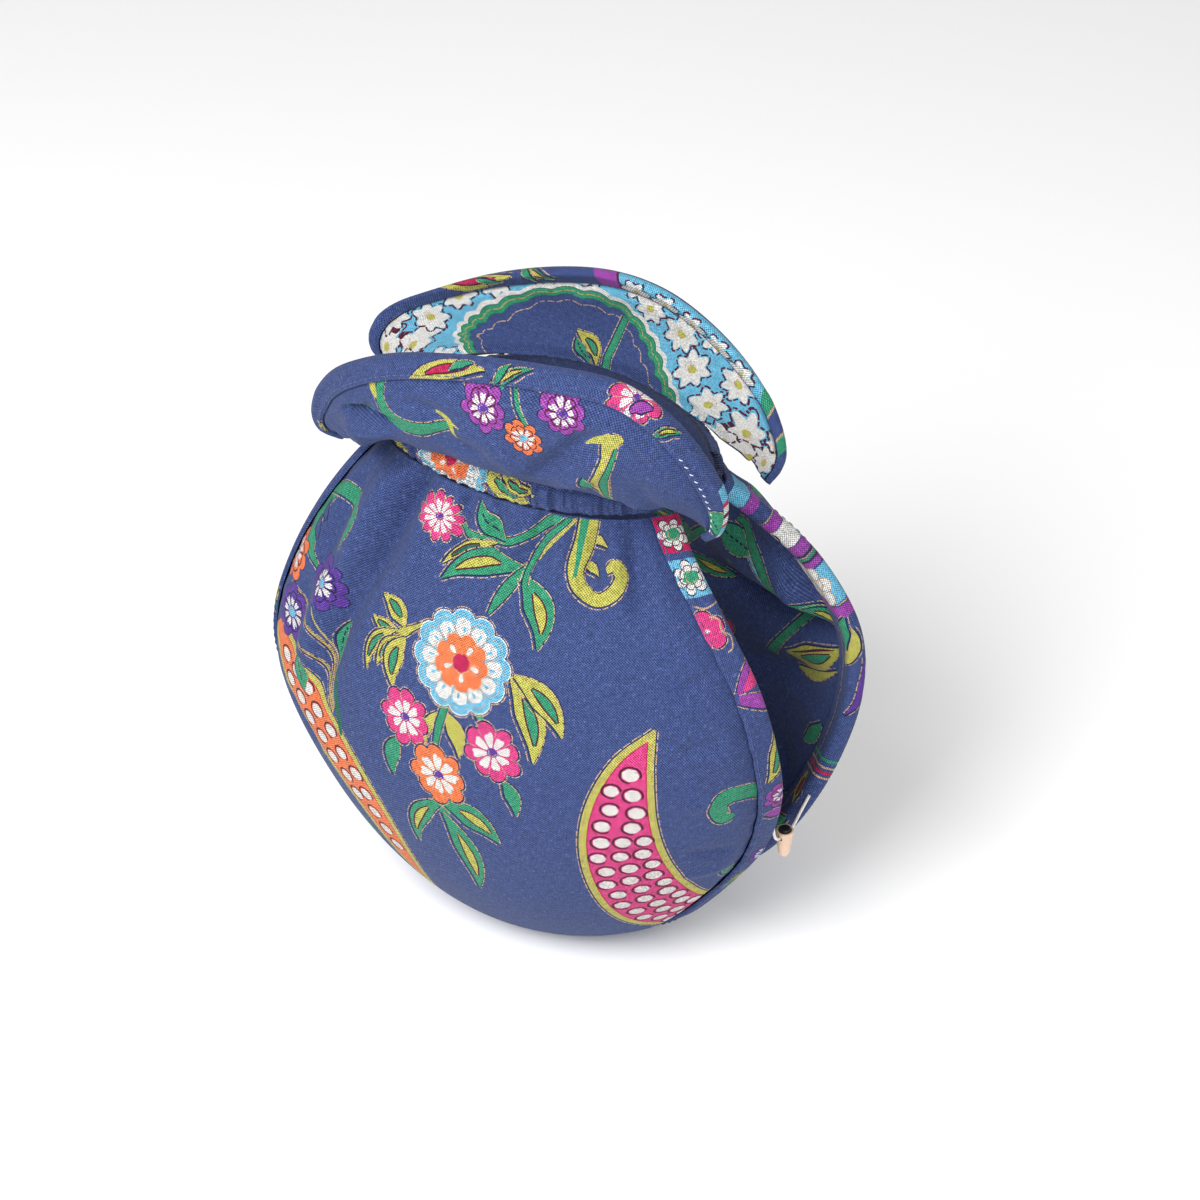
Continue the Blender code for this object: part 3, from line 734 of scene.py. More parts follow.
def sew(name, cloth, prints, steps, finish):
    """A closed piece of cloth: its two faces, each cut along its own print, joined round their edge."""
    middle = np.array([[0.5 * (cloth.left(y) + cloth.right(y)), y]
                       for y in np.linspace(cloth.low + 2, cloth.high - 2, 9)])
    thick = cloth.place(*middle.T, 0) - cloth.place(*middle.T, 1)
    _, guess = ring_of(cloth, 0, middle, 1)
    outward = 1 if (thick * guess).sum() > 0 else -1
    verts, normals, faces, colours, lies, bakes, rims = [], [], [], [], [], [], []
    wide = cloth.outline(EDGE_STEP)
    low, size = wide.min(0), np.ptp(wide, axis=0)
    first = 0
    for face in (0, 1):
        flat, triangles, tints, rim = cut_out(cloth, prints[face], steps[face])
        turn = outward if face == 0 else -outward
        points, leans = ring_of(cloth, face, flat, turn)
        if turn < 0:
            triangles = triangles[:, ::-1]
        share = (flat - low) / size
        verts.append(points)
        normals.append(leans)
        faces.append(triangles + first)
        colours.append(tints)
        lies.append(flat * MM + (face, 0.0))
        bakes.append(share * (0.48, 0.98) + (0.01 + 0.5 * face, 0.01))
        rims.append(np.array(rim) + first)
        first += len(flat)
    outer, inner = rims
    walls = np.column_stack([np.roll(outer, -1), outer, inner, np.roll(inner, -1)])
    if outward < 0:
        walls = walls[:, ::-1]
    walls = np.concatenate([walls[:, [0, 1, 2]], walls[:, [0, 2, 3]]])
    faces.append(walls)
    colours.append(np.tile(INK_COLOURS[GROUND], (len(walls), 1)))
    verts, normals, faces = np.concatenate(verts), np.concatenate(normals), np.concatenate(faces)
    mesh = bpy.data.meshes.new(name)
    mesh.from_pydata((verts * MM).tolist(), [], faces.tolist())
    corners = faces.reshape(-1)
    # a wall's corners all take the outer face's lie, so that it bakes as the edge of that face
    lie_of = np.concatenate(lies)
    bake_of = np.concatenate(bakes)
    back_to_front = np.arange(len(verts))
    back_to_front[inner] = outer
    wall_corners = np.arange(len(corners)) >= 3 * (len(faces) - len(walls))
    source = np.where(wall_corners, back_to_front[corners], corners)
    bake = mesh.uv_layers.new(name="OFBake")
    bake.uv.foreach_set("vector", bake_of[source].astype(np.float32).reshape(-1))
    lie = mesh.uv_layers.new(name="cloth")
    lie.uv.foreach_set("vector", lie_of[source].astype(np.float32).reshape(-1))
    paint = mesh.color_attributes.new("print", "FLOAT_COLOR", "CORNER")
    inked = np.repeat(np.concatenate(colours), 3, axis=0).astype(np.float32)
    paint.data.foreach_set("color", inked.reshape(-1))
    mesh.shade_smooth()
    mesh.validate()
    mesh.normals_split_custom_set_from_vertices(normals.tolist())
    return shown(name, mesh, finish)


# ---------------------------------------------------------------- motifs

# A band follows rows of x, y and width. A leaf runs from its base to its tip, bowed sideways by a share
# of its length. A flower has a centre, a radius and a turn. A crescent is a bordered band of dots.
Band = namedtuple("Band", "ink rows gold", defaults=(False,))
Leaf = namedtuple("Leaf", "ink base tip wide bend slit gold", defaults=(None, True))
Flower = namedtuple("Flower", "style centre radius turn")
Crescent = namedtuple("Crescent", "rows fill")

# A small flower's inks and its number of petals; an outline of None leaves a broken gold line instead.
Style = namedtuple("Style", "outer outline petal heart heart_size count notch")
STYLES = {
    "rose": Style("magenta", None, "white", "purple", 0.20, 8, 0.22),
    "rose_spiked": Style("magenta", None, "white", "purple", 0.17, 11, 0.34),
    "apricot": Style("orange", None, "white", "purple", 0.20, 8, 0.20),
    "night": Style("purple", "ink_blue", "white", "sky", 0.22, 9, 0.24),
    "ember": Style("orange", "plum", "white", "sky", 0.22, 8, 0.28),
    "orchid": Style("violet", "plum", "white", "purple", 0.24, 8, 0.26),
    "coral": Style("orange", "plum", "white", "sky", 0.26, 8, 0.28),
    "mint": Style("white", "plum", "white", "green", 0.50, 7, 0.42),
    "blush": Style("magenta", None, "magenta", "white", 0.15, 5, 0.34),
}
LEAF_SHAPE = (0.10, 0.66, 1.0, 0.86, 0.48, 0.03)
SLIT_SHAPE = (0.05, 0.75, 1.0, 0.70, 0.05)


def scallops(radius, count, depth, steps=6):
    """Radii of a ring of round petals with notches between them."""
    angles = np.linspace(0, 2 * math.pi, count * steps, endpoint=False)
    return radius * (1 - depth * (1 - np.abs(np.sin(angles * count / 2)) ** 0.6))


def closed(ring):
    """A ring of points with its first one again at its end."""
    return np.concatenate([ring, ring[:1]])


class Print:
    """Outlines drawn on one face of a flat cloth; a later one lies on top of an earlier one."""

    def __init__(self, cloth, seed=0):
        self.cloth = cloth
        self.shapes = []
        self.chance = np.random.default_rng(seed)

    def fill(self, points, ink):
        points = self.cloth.held(points, 0.4)
        points = points[np.linalg.norm(points - np.roll(points, 1, axis=0), axis=1) > 0.04]
        if len(points) > 2:
            self.shapes.append((points, ink))

    def beside(self, line, apart):
        """The line moved sideways by sewn distances, to its right where they are positive."""
        to_flat = self.cloth.ease(line)
        run = np.gradient(line, axis=0)
        sewn = unit(np.einsum("nij,nj->ni", np.linalg.inv(to_flat), run))
        aside = np.column_stack([sewn[:, 1], -sewn[:, 0]]) * np.broadcast_to(apart, len(line))[:, None]
        return line + np.einsum("nij,nj->ni", to_flat, aside)

    def stroke(self, line, wide, ink):
        """A stroke of a width, or of widths, along a line; returns its two sides."""
        half = np.broadcast_to(wide, len(line)) / 2
        right, left = self.beside(line, half), self.beside(line, -half)
        self.fill(np.concatenate([right, left[::-1]]), ink)
        return right, left

    def spine(self, rows, step=1.2):
        """The smooth line and the widths that rows of x, y and width give."""
        rows = np.asarray(rows, float)
        count = max(int(run_of(rows[:, :2])[-1] / step), 5)
        line = along_rows(rows, np.linspace(0, len(rows) - 1, count + 1))
        return line[:, :2], np.maximum(line[:, 2], 0.1)

    def dashes(self, line, ink="gold", wide=0.42, dash=3.6, gap=0.8):
        """A broken line, like one drawn by hand with a metallic pen."""
        run = run_of(line)
        place = 0.0
        while place < run[-1] - 0.6:
            long = dash * self.chance.uniform(0.55, 1.3)
            stops = np.linspace(place, min(place + long, run[-1]), max(int(long / 1.2), 2) + 1)
            part = np.column_stack([np.interp(stops, run, line[:, k]) for k in (0, 1)])
            self.stroke(part, wide * self.chance.uniform(0.8, 1.15), ink)
            place += long + gap * self.chance.uniform(0.6, 1.3)

    def ring(self, centre, radii, turn=0.0, squash=1.0):
        """A closed outline round a centre, from radii at even angles in sewn millimetres."""
        angles = np.linspace(0, 2 * math.pi, len(radii), endpoint=False) + turn
        spots = np.column_stack([radii * np.cos(angles), radii * np.sin(angles) * squash])
        return np.array(centre, float) + spots @ self.cloth.ease(np.array([centre], float))[0].T

    def petal(self, centre, angle, near, far, wide):
        """The outline of a petal that points away from a centre."""
        turns = np.linspace(0, 2 * math.pi, 9, endpoint=False)
        along = (near + far) / 2 + (far - near) / 2 * np.cos(turns)
        aside = wide / 2 * np.sin(turns) * (0.75 + 0.35 * np.cos(turns))
        spots = np.column_stack([along * math.cos(angle) - aside * math.sin(angle),
                                 along * math.sin(angle) + aside * math.cos(angle)])
        return np.array(centre, float) + spots @ self.cloth.ease(np.array([centre], float))[0].T

    def band(self, band):
        line, widths = self.spine(band.rows)
        if band.gold:
            self.stroke(line, widths + 0.8, "ink_blue")
        self.stroke(line, widths, band.ink)
        if band.gold:
            for hand in (1, -1):
                self.dashes(self.beside(line, hand * (widths / 2 + 0.7)) + (-0.2, 0.3))

    def leaf(self, leaf):
        base, tip = np.array(leaf.base, float), np.array(leaf.tip, float)
        aside = np.array([tip[1] - base[1], base[0] - tip[0]]) * leaf.bend * 4

        def bowed(low, high, shape, wide, step):
            share = np.linspace(low, high, len(shape))[:, None]
            spine = base + (tip - base) * share + aside * share * (1 - share)
            return self.spine(np.column_stack([spine, np.array(shape) * wide]), step)

        line, widths = bowed(0, 1, LEAF_SHAPE, leaf.wide, 1.2)
        self.stroke(line, widths + 1.3, "ink_blue")
        self.stroke(line, widths, leaf.ink)
        if leaf.gold:
            for hand in (1, -1):
                self.dashes(self.beside(line, hand * (widths / 2 + 0.8)) + (-0.5, 0.5))
        if leaf.slit:
            line, widths = bowed(0.24, 0.80, SLIT_SHAPE, leaf.wide * 0.34, 1.0)
            if leaf.slit == "plum":
                self.dashes(line, "ink_blue", 0.7, 2.4, 0.9)
            else:
                self.stroke(line, widths + 1.3, "plum")
                self.stroke(line, widths, leaf.slit)

    def flower(self, flower):
        style = STYLES[flower.style]
        centre, radius, count, turn = flower.centre, flower.radius, style.count, flower.turn
        swing = np.linspace(0, 4 * math.pi, count * 6, endpoint=False)
        uneven = 1 + 0.08 * np.sin(swing + turn) + 0.05 * np.sin(2.5 * swing + 3 * turn)
        whole = scallops(radius, count, style.notch) * uneven
        if style.outline:
            self.fill(self.ring(centre, whole + 0.5, turn), "ink_blue")
            self.fill(self.ring(centre, whole, turn), style.outer)
            inner = scallops(0.72 * radius, count, 0.16) * uneven
            self.fill(self.ring(centre, inner, turn + 0.1), style.outline)
            self.fill(self.ring(centre, inner - 0.06 * radius, turn + 0.1), style.outer)
        else:
            self.fill(self.ring(centre, whole + 0.6, turn + 0.04), "ink_blue")
            self.fill(self.ring(centre, whole, turn), style.outer)
            edge = self.ring(centre, whole * 1.06 + 0.3, turn)
            self.dashes(closed(edge), dash=3.0, gap=0.6)
        step = 2 * math.pi / count
        wide = 0.46 * radius * step
        for petal in range(count):
            angle = turn + step * (petal + 0.5)
            far = radius * self.chance.uniform(0.52, 0.66)
            if style.outline:
                for lobe in (-0.17, 0.17):
                    far_lobe = far * self.chance.uniform(0.84, 1.06)
                    self.fill(self.petal(centre, angle + lobe * step, 0.22 * radius, far_lobe, 0.42 * wide),
                              style.petal)
                ray = self.petal(centre, angle + step / 2, 0.28 * radius, 0.62 * radius, 0.01)[[4, 0]]
                self.stroke(np.linspace(ray[0], ray[1], 4), 0.06 * radius, style.outline)
            else:
                for lobe in (-0.15, 0.15):
                    far_lobe = (far + 0.12 * radius) * self.chance.uniform(0.86, 1.05)
                    self.fill(self.petal(centre, angle + lobe * step, 0.16 * radius, far_lobe, 0.66 * wide),
                              style.petal)
        if not style.outline:
            for petal in range(count):
                angle = turn + step * petal
                far = self.chance.uniform(0.50, 0.66)
                self.fill(self.petal(centre, angle, 0.30 * radius, far * radius, 0.11 * radius), style.outer)
                ray = self.petal(centre, angle, far * radius, 0.88 * radius, 0.01)[[4, 0]]
                self.stroke(np.linspace(ray[0], ray[1], 4), 0.28, "gold")
        heart = self.ring(centre, style.heart_size * radius * (1 + 0.12 * np.sin(3 * swing[::4])), turn, 0.85)
        self.fill(heart, style.heart)
        loop = self.ring(centre, np.full(12, 0.7 * style.heart_size * radius), turn)
        self.dashes(loop[:9], wide=0.35, dash=4.0)

    def star(self, flower):
        """A white star of seven pointed petals with a lime heart and a broken plum outline."""
        centre, radius = flower.centre, flower.radius
        angles = np.linspace(0, 2 * math.pi, 42, endpoint=False)
        points = np.abs(np.cos(angles * 3.5)) ** 1.6
        shape = radius * (0.62 + 0.36 * points + 0.04 * np.sin(2 * angles + flower.turn * 5))
        edge = self.ring(centre, shape + 0.9, flower.turn)
        self.dashes(closed(edge), "plum", 0.75, 5.0, 1.3)
        self.fill(self.ring(centre, shape, flower.turn), "white")
        self.fill(self.ring(centre, np.full(12, 0.25 * radius), 0.4, 0.8), "lime")
        arc = self.ring(centre, np.full(12, 0.22 * radius), flower.turn)
        self.dashes(arc[:8], wide=0.36, dash=5.0)
        for side in (0.3, 0.42):
            arc = self.ring(centre, np.full(16, side * radius), 1.5 + flower.turn)
            self.dashes(arc[:5], wide=0.26, dash=2.0)

    def arch(self, rows, layers):
        """Scalloped fields, one within another, under a line that runs to the cloth's last edge."""
        line, _ = self.spine([(x, y, 1.0) for x, y in rows], 1.0)
        bulge = 1.5 * np.abs(np.sin(math.pi * run_of(line) / 10.5))
        for inset, ink in layers:
            edge = self.beside(line, bulge - inset)
            foot = [(edge[-1, 0], self.cloth.high), (edge[0, 0], self.cloth.high)]
            self.fill(np.concatenate([edge, foot]), ink)
        return line, bulge

    def stripe(self, start, end, ink, low=0.0, high=99.0, slant=0.0, wave=0.0):
        """A stripe across a band of cloth, from start to end along it and low to high across it."""
        x = np.linspace(max(low, 0.1), min(high, self.cloth.right(start) - 0.1), 12)
        bow = slant * (x - x.mean()) + wave * np.sin(x * 1.1)
        near, far = np.column_stack([x, start + bow]), np.column_stack([x, end + bow])
        self.fill(np.concatenate([near, far[::-1]]), ink)

    def great_flower(self, centre, radius, turn):
        """The large flower: rings of sky, white and orange petals round a crimson heart."""
        count = 12
        self.fill(self.ring(centre, scallops(radius + 0.5, count, 0.12), turn), "white")
        self.fill(self.ring(centre, scallops(radius, count, 0.12), turn), "sky")
        edge = self.ring(centre, scallops(radius * 1.06, count, 0.11), turn)
        self.dashes(closed(edge), dash=5.0)
        for petal in range(count):
            angle = turn + 2 * math.pi * (petal + 0.5) / count
            self.fill(self.petal(centre, angle, 0.36 * radius, self.chance.uniform(0.80, 0.87) * radius,
                                 0.40 * radius), "white")
            arc = self.petal(centre, angle, 0.40 * radius, 0.91 * radius, 0.46 * radius)
            self.dashes(arc[[6, 7, 8, 0, 1, 2, 3]], wide=0.32, dash=2.6, gap=0.5)
            self.fill(self.petal(centre, angle + 0.05, 0.56 * radius, 0.70 * radius, 0.07 * radius), "sky")
        inner = scallops(radius * 0.56, 9, 0.16)
        self.fill(self.ring(centre, inner, turn + 0.2), "orange")
        rim = self.ring(centre, inner * 1.05, turn + 0.2)
        self.dashes(closed(rim), wide=0.34, dash=3.0, gap=0.4)
        for petal in range(5):
            angle = turn + 2 * math.pi * petal / 5
            self.fill(self.petal(centre, angle, 0.20 * radius, 0.38 * radius, 0.13 * radius), "white")
            arc = self.petal(centre, angle, 0.19 * radius, 0.44 * radius, 0.24 * radius)
            self.dashes(arc, wide=0.3, dash=1.6, gap=0.5)
        self.fill(self.ring(centre, scallops(0.18 * radius, 7, 0.12), turn), "crimson")
        loop = self.ring(centre, np.full(14, 0.20 * radius), turn)
        self.dashes(loop[:9], wide=0.34, dash=4.0)

    def crescent(self, crescent):
        """A band with a lime border, filled with rows of white dots half ringed in plum."""
        line, widths = self.spine(crescent.rows, 1.6)
        self.stroke(line, widths + 0.8, "ink_blue")
        self.stroke(line, widths, "lime")
        for hand in (1, -1):
            self.dashes(self.beside(line, hand * (widths / 2 + 0.8)))
            self.dashes(self.beside(line, hand * (widths / 2 - 0.9)), wide=0.3, dash=6.0, gap=0.5)
        inner = widths - 5.4
        keep = inner > 0.4
        line, inner = line[keep], inner[keep]
        self.stroke(line, inner, "crimson")
        self.stroke(line, np.maximum(inner - 1.0, 0.2), crescent.fill)
        run = run_of(line)
        for row, stop in enumerate(np.arange(6.0, run[-1] - 2.0, 8.4)):
            ends = np.array([[np.interp(place, run, line[:, k]) for k in (0, 1)]
                             for place in (stop, stop + 1)])
            room = float(np.interp(stop, run, inner)) - 1.2
            count = int(room // 7.4)
            for place in range(count):
                apart = (place - (count - 1) / 2) * room / count + (0.9 if row % 2 else -0.9) * (count > 1)
                centre = self.beside(ends, apart)[0]
                big = self.chance.uniform(2.7, 3.1)
                turn = self.chance.uniform(1.0, 2.0)
                self.fill(self.ring(centre, np.full(16, big + 1.25), turn, 0.9)[:13], "plum")
                self.fill(self.ring(centre, np.full(14, big + 0.35), 0.9, 0.9), crescent.fill)
                self.fill(self.ring(centre, big * (1 + 0.06 * np.sin(3 * np.arange(14))), 0.5, 0.88), "white")

    def draw(self, motifs):
        """Draw a list of motifs, in order."""
        for motif in motifs:
            if isinstance(motif, Band):
                self.band(motif)
            elif isinstance(motif, Leaf):
                self.leaf(motif)
            elif isinstance(motif, Crescent):
                self.crescent(motif)
            elif motif.style == "great":
                self.great_flower(motif.centre, motif.radius, motif.turn)
            else:
                self.flower(motif)
        return self


# ---------------------------------------------------------------- the cosy's prints

FRONT_MOTIFS = [
    # left edge: toothed leaf, three flowers on long stems
    Band("green", [(-70.5, 60.8, 1), (-79.6, 57.6, 4), (-83.6, 48.4, 8), (-83.4, 38.3, 9),
                   (-77.3, 29.4, 7)], True),
    Band("green", [(-84.3, 31.9, 3.2), (-68.6, 26.3, 6), (-55.1, 28.1, 5.5), (-53.5, 34.5, 5),
                   (-56.3, 40.2, 2.5), (-58.6, 45.6, 1)], True),
    Leaf("navy", (-77, 52), (-80, 42), 3.0, 0.1, None, False),
    Leaf("navy", (-75, 43), (-79, 34), 3.0, 0.1, None, False),
    Band("stripe_gold", [(-89.3, 76.8, 0.5), (-71.1, 79.3, 0.7), (-59.6, 86.9, 0.9),
                         (-51.5, 108.7, 1.1)], True),
    Band("stripe_gold", [(-63.7, 73, 0.6), (-58.8, 84.3, 0.8), (-53.9, 94, 1.0), (-49.8, 108.4, 1.2)]),
    Band("stripe_gold", [(-70.9, 92, 0.5), (-61.3, 95.8, 0.7), (-54.4, 103.3, 1.0),
                         (-50.4, 110.7, 1.2)], True),
    Band("deep_green", [(-53.2, 87.1, 1), (-50.1, 98.1, 2), (-47.6, 108.7, 2.5), (-46.4, 118.9, 1.5)]),
    Leaf("green", (-52.4, 92.2), (-50, 72.2), 5, 0.12, "plum"),
    Leaf("green", (-69.2, 114.6), (-70.5, 98.1), 8.2, 0.1, "plum"),
    Flower("ember", (-93.5, 67.0), 10.5, 0.3),
    Flower("night", (-60.9, 61.3), 10.5, 0.1),
    Flower("night", (-84.2, 88.5), 10.5, 0.5),
    # lime spray left of the large flower
    Band("lime", [(-13.9, 52.2, 1.1), (-18.7, 56.9, 1.8), (-22.2, 60.2, 3.3), (-25.2, 62.5, 1.8)], True),
    Leaf("lime", (-22.2, 58.2), (-32.9, 50.5), 8, -0.12, "green"),
    Leaf("lime", (-24.3, 60.8), (-35.8, 60.4), 5.7, 0.1, "green"),
    Leaf("lime", (-25.5, 61.1), (-35.1, 81.7), 5.4, -0.15, "green"),
    Leaf("lime", (-23.1, 62.6), (-31.1, 77.8), 5.6, -0.08, "green"),
    Leaf("lime", (-21.1, 62), (-23.4, 83), 8.6, -0.12, "green"),
    # pink flower under the neck, its stem and leaves
    Band("green", [(-11.5, 12.9, 1.2), (-6.3, 15.2, 2.4), (1.4, 14.8, 2.7), (7.9, 13.2, 2.5),
                   (15, 8.8, 2.8), (21.1, 3, 3.6), (26.3, 0.3, 2.4)], True),
    Leaf("green", (7.5, 12.9), (-3.8, 2), 7.5, 0.14, "plum"),
    Leaf("lime", (3.5, 15.7), (-12.6, 29), 4.3, -0.1, "deep_green"),
    Leaf("green", (14.9, 21.9), (-11.8, 34.4), 9.6, -0.16, "lime"),
    Band("green", [(15.6, 20.2, 1.8), (11.4, 28.5, 4), (8.5, 35, 3.3), (6.2, 41.1, 0.6)], True),
    Leaf("green", (14.4, 24.2), (24.3, 49.4), 11.1, 0.14, "lime"),
    Band("lime", [(30.1, 0.5, 1.5), (22.7, 9.6, 2.1), (18.4, 17.3, 1.4)]),
    Band("green", [(28.4, 0.3, 1.5), (21.2, 8.4, 2.9), (17.2, 16.2, 2.5), (15.7, 22.4, 2.2),
                   (16.1, 27.5, 1.9)], True),
    Flower("rose_spiked", (-16.8, 12.8), 8.8, 0.2),
    # lime scroll
    Leaf("lime", (34, 7.5), (41.9, 9.5), 3.2, 0.1),
    Leaf("lime", (33.7, 16.5), (39.9, 20.1), 3.3, 0.1),
    Band("lime", [(34.7, 0.3, 6.8), (33.4, 9, 7.2), (31.6, 18.3, 5.6), (34.3, 25.1, 5.2),
                  (41.1, 28.3, 4.6), (46.4, 25.3, 4.9), (48.2, 19.9, 5.2), (45.4, 15.7, 4.3),
                  (42.6, 17.7, 2.1)], True),
    Band("green", [(33.3, 0.3, 3), (32.1, 10.3, 2.2), (31.8, 21.2, 1.1)]),
    # lime pair right of the large flower
    Leaf("lime", (17.5, 61.6), (29.5, 93.5), 11, 0.1, "green"),
    Leaf("lime", (18.5, 61), (37.8, 81.3), 9.9, 0.12, "green"),
    # leaves and small flowers hanging below
    Leaf("lime", (-5.6, 84.4), (-9.2, 100.5), 4.1, -0.1),
    Leaf("lime", (-3.8, 83.2), (3.5, 99.7), 7, 0.12),
    Band("green", [(-3.1, 80, 2.4), (-4.7, 88.9, 2.9), (-5.5, 99.5, 1.8)], True),
    Leaf("green", (6.8, 77.5), (10.5, 83.9), 3.1, 0.1),
    Leaf("green", (-19.1, 101.8), (-21.6, 120.5), 6.9, -0.1),
    Leaf("green", (19.5, 103.4), (25.3, 118.4), 5.9, 0.1),
    Band("green", [(-4.9, 122.1, 4.5), (-2.3, 124.6, 6), (-1, 128.9, 3)]),
    Leaf("green", (-2.2, 122.6), (-14.5, 151.5), 8.0, -0.14, "lime"),
    Leaf("green", (-2.3, 123.1), (19.4, 134.8), 10.7, 0.14, "lime"),
    Leaf("green", (-2.5, 127.7), (7.3, 167.7), 10, 0.1, "lime"),
    Flower("great", (0.1, 62.3), 19.9, 0.15),
    Flower("rose", (-17.6, 92.4), 10.8, 0.4),
    Flower("rose", (15.1, 93.1), 11.3, 0.1),
    Flower("apricot", (-4, 110.8), 12.1, 0.3),
    # small leaves near the sides
    Leaf("green", (-54, 172), (-46, 186), 5, 0.3),
    Leaf("green", (108, 172), (101, 165), 4.5, 0.1, "plum"),
    Band("green", [(122.7, 119.7, 5), (111.7, 111.8, 6.5), (103.1, 109.7, 7.5), (98.7, 114.3, 6.8),
                   (102, 122.5, 6), (106.1, 122, 2.5)], True),
]
FRONT_CRESCENTS = [
    Crescent([(-96, 100, 10), (-80, 112, 22), (-63.5, 121, 25), (-48.5, 134, 24), (-36, 151.6, 20),
              (-26.8, 175.5, 13), (-20.7, 203, 0.8)], "orange"),
    Crescent([(69.4, 75.9, 1.1), (63.6, 92.3, 16.8), (62, 115.9, 27.4), (66, 146, 33), (74, 178, 34),
              (84, 208, 26), (92, 232, 8)], "magenta"),
]
FRONT_FLAP_MOTIFS = [
    # green branch at the left
    Band("green", [(-31.4, 0, 3.6), (-32.4, 3.5, 4.2), (-32.8, 10.5, 4.3), (-31.4, 20.6, 5.2),
                   (-26.4, 27.8, 5.6),
                   (-18.9, 29.2, 5), (-11.7, 25.8, 2.4)], True),
    Band("lime", [(-38.3, 1.6, 2), (-36, 6.4, 3.2), (-34, 10.4, 1)]),
    Band("green", [(-55, 11.2, 3), (-45.1, 19.8, 1.5), (-35.6, 27.0, 1.5), (-27.6, 31.4, 1)]),
    Band("lime", [(-15.7, 19.3, 1.5), (-11.7, 23.3, 3), (-8.5, 33.1, 1)]),
    Band("lime", [(-11.7, 24, 1.5), (-7.4, 24.8, 0.5)]),
    # fan of stems over the three flowers
    Band("green", [(3.8, 0, 1.6), (7, 8.4, 1.6), (11.3, 16.9, 1.4)], True),
    Band("green", [(3.8, 0, 1.4), (2.2, 3.5, 1.3), (0.6, 7.5, 1.1)]),
    Leaf("green", (4.6, 0), (14.9, 3.9), 3.0, 0.1),
    Leaf("green", (1.8, 1.9), (-1.4, 0.7), 2.2, 0.1),
    Band("gold", [(-8.9, 0, 0.5), (-7, 5.2, 0.6), (-4.2, 0, 0.5)]),
    Flower("orchid", (-1, 12.5), 9.0, 0.4),
    Flower("orchid", (18.5, 9.1), 8.8, 0.1),
    Flower("coral", (11.7, 23.4), 7.2, 0.2),
    # lime bud at the right
    Band("lime", [(37.5, 9.8, 1.2), (35.2, 11.9, 5.2), (35.0, 15.5, 4.8), (37.2, 20.4, 3.6),
                  (39.1, 26.3, 5.0),
                  (41.1, 32.9, 6.4), (45.6, 39.6, 4.6), (52.4, 47.4, 2.0)], True),
    Band("lime", [(36.8, 10.6, 3.0), (33.4, 12.6, 4.0), (30.6, 16.4, 2.4), (28.6, 20.9, 0.6)]),
    Band("green", [(37.4, 14.6, 0.8), (39.6, 22.2, 1.6), (42.7, 33.7, 2.6), (50, 44.8, 1.8),
                   (57.4, 49.1, 0.6)], True),
    Leaf("green", (40.3, 37.7), (34.4, 31.9), 4.2, 0.1),
    Leaf("green", (98, 26), (116, 46), 15.0, 0.1, "plum"),
]
FRONT_RIM_MOTIFS = [
    Leaf("lime", (6.0, 91.5), (10.4, 124.5), 7.6, 0.06, "crimson"),
    Leaf("green", (9.5, 109.5), (12.6, 119.0), 2.6, 0.1),
    Leaf("green", (3.0, 127.0), (13.4, 142.0), 4.2, 0.1, "lime"),
    Leaf("green", (6.6, 130.0), (14.2, 133.2), 2.8, 0.1),
    Flower("rose", (13.4, 179.3), 9.0, 0.4),
    Leaf("violet", (8.5, 179.5), (13.5, 186.0), 4.2, 0.1, None, False),
    Leaf("green", (6.2, 190.8), (13.5, 198.5), 3.6, 0.1, "lime"),
    Leaf("lime", (0.8, 8.0), (9.0, 15.0), 4.0, 0.1),
    Leaf("green", (3.0, 233.0), (12.7, 247.0), 11.0, 0.1, "plum"),
]
RIM_END = ((226.0, 232.0, "sky"), (232.0, 234.0, "crimson"), (234.0, 237.0, "white"), (237.0, 239.0, "plum"),
           (239.0, 242.0, "white"), (242.0, 243.6, "crimson"), (243.6, 248.0, "sky"), (248.0, 250.0, "white"))
CASING_MOTIFS = [
    Leaf("lime", (9.5, 12.0), (26.5, 1.0), 8.5, 0.1),
    Flower("great", (50.0, 9.2), 17.0, 0.15),
    Leaf("lime", (67.0, 12.0), (83.5, 1.2), 11.5, 0.06, "green"),
    Leaf("lime", (72.5, 11.2), (86.0, 6.2), 5.5, 0.1, "green"),
]
ARCH_ROWS = [(-69.7, 61.3), (-61, 38.5), (-49.1, 26), (-36, 15.8), (-21.3, 8.8), (-8.1, 6.6), (5, 9.4),
             (14.9, 16.1),
             (22.8, 26), (30.4, 38.4), (37.9, 49.9), (49.1, 62)]
ARCH_LAYERS = ((0.0, "white"), (1.9, "deep_green"), (2.3, "green"), (5.8, "deep_green"), (6.2, "navy"))
STARS = [(-90, 13.2, 6.5), (-70.9, 2.4, 7.4), (-81.7, 33.3, 6.3), (-58.6, 15.2, 7.5), (-41.5, 5.2, 7.5),
         (-28.5, 1.0, 7.2), (-12.8, -0.5, 6.6), (1.6, -0.8, 6.4), (17.3, 0.1, 6.4), (22.8, 10.2, 6.6),
         (36, 15.4, 7.4), (45.1, 32.9, 7.6), (65.8, 11.8, 7.6), (62.2, 47.8, 7.6), (48.5, 0.6, 6.4),
         (87.2, 37.1, 7.0), (82.8, 61.9, 5.0), (99, 6, 6.0), (111.5, 58.8, 5.6), (109.5, 27.9, 5.0),
         (-111.8, 55.5, 5.0),
         (-84, 61, 5.0)]
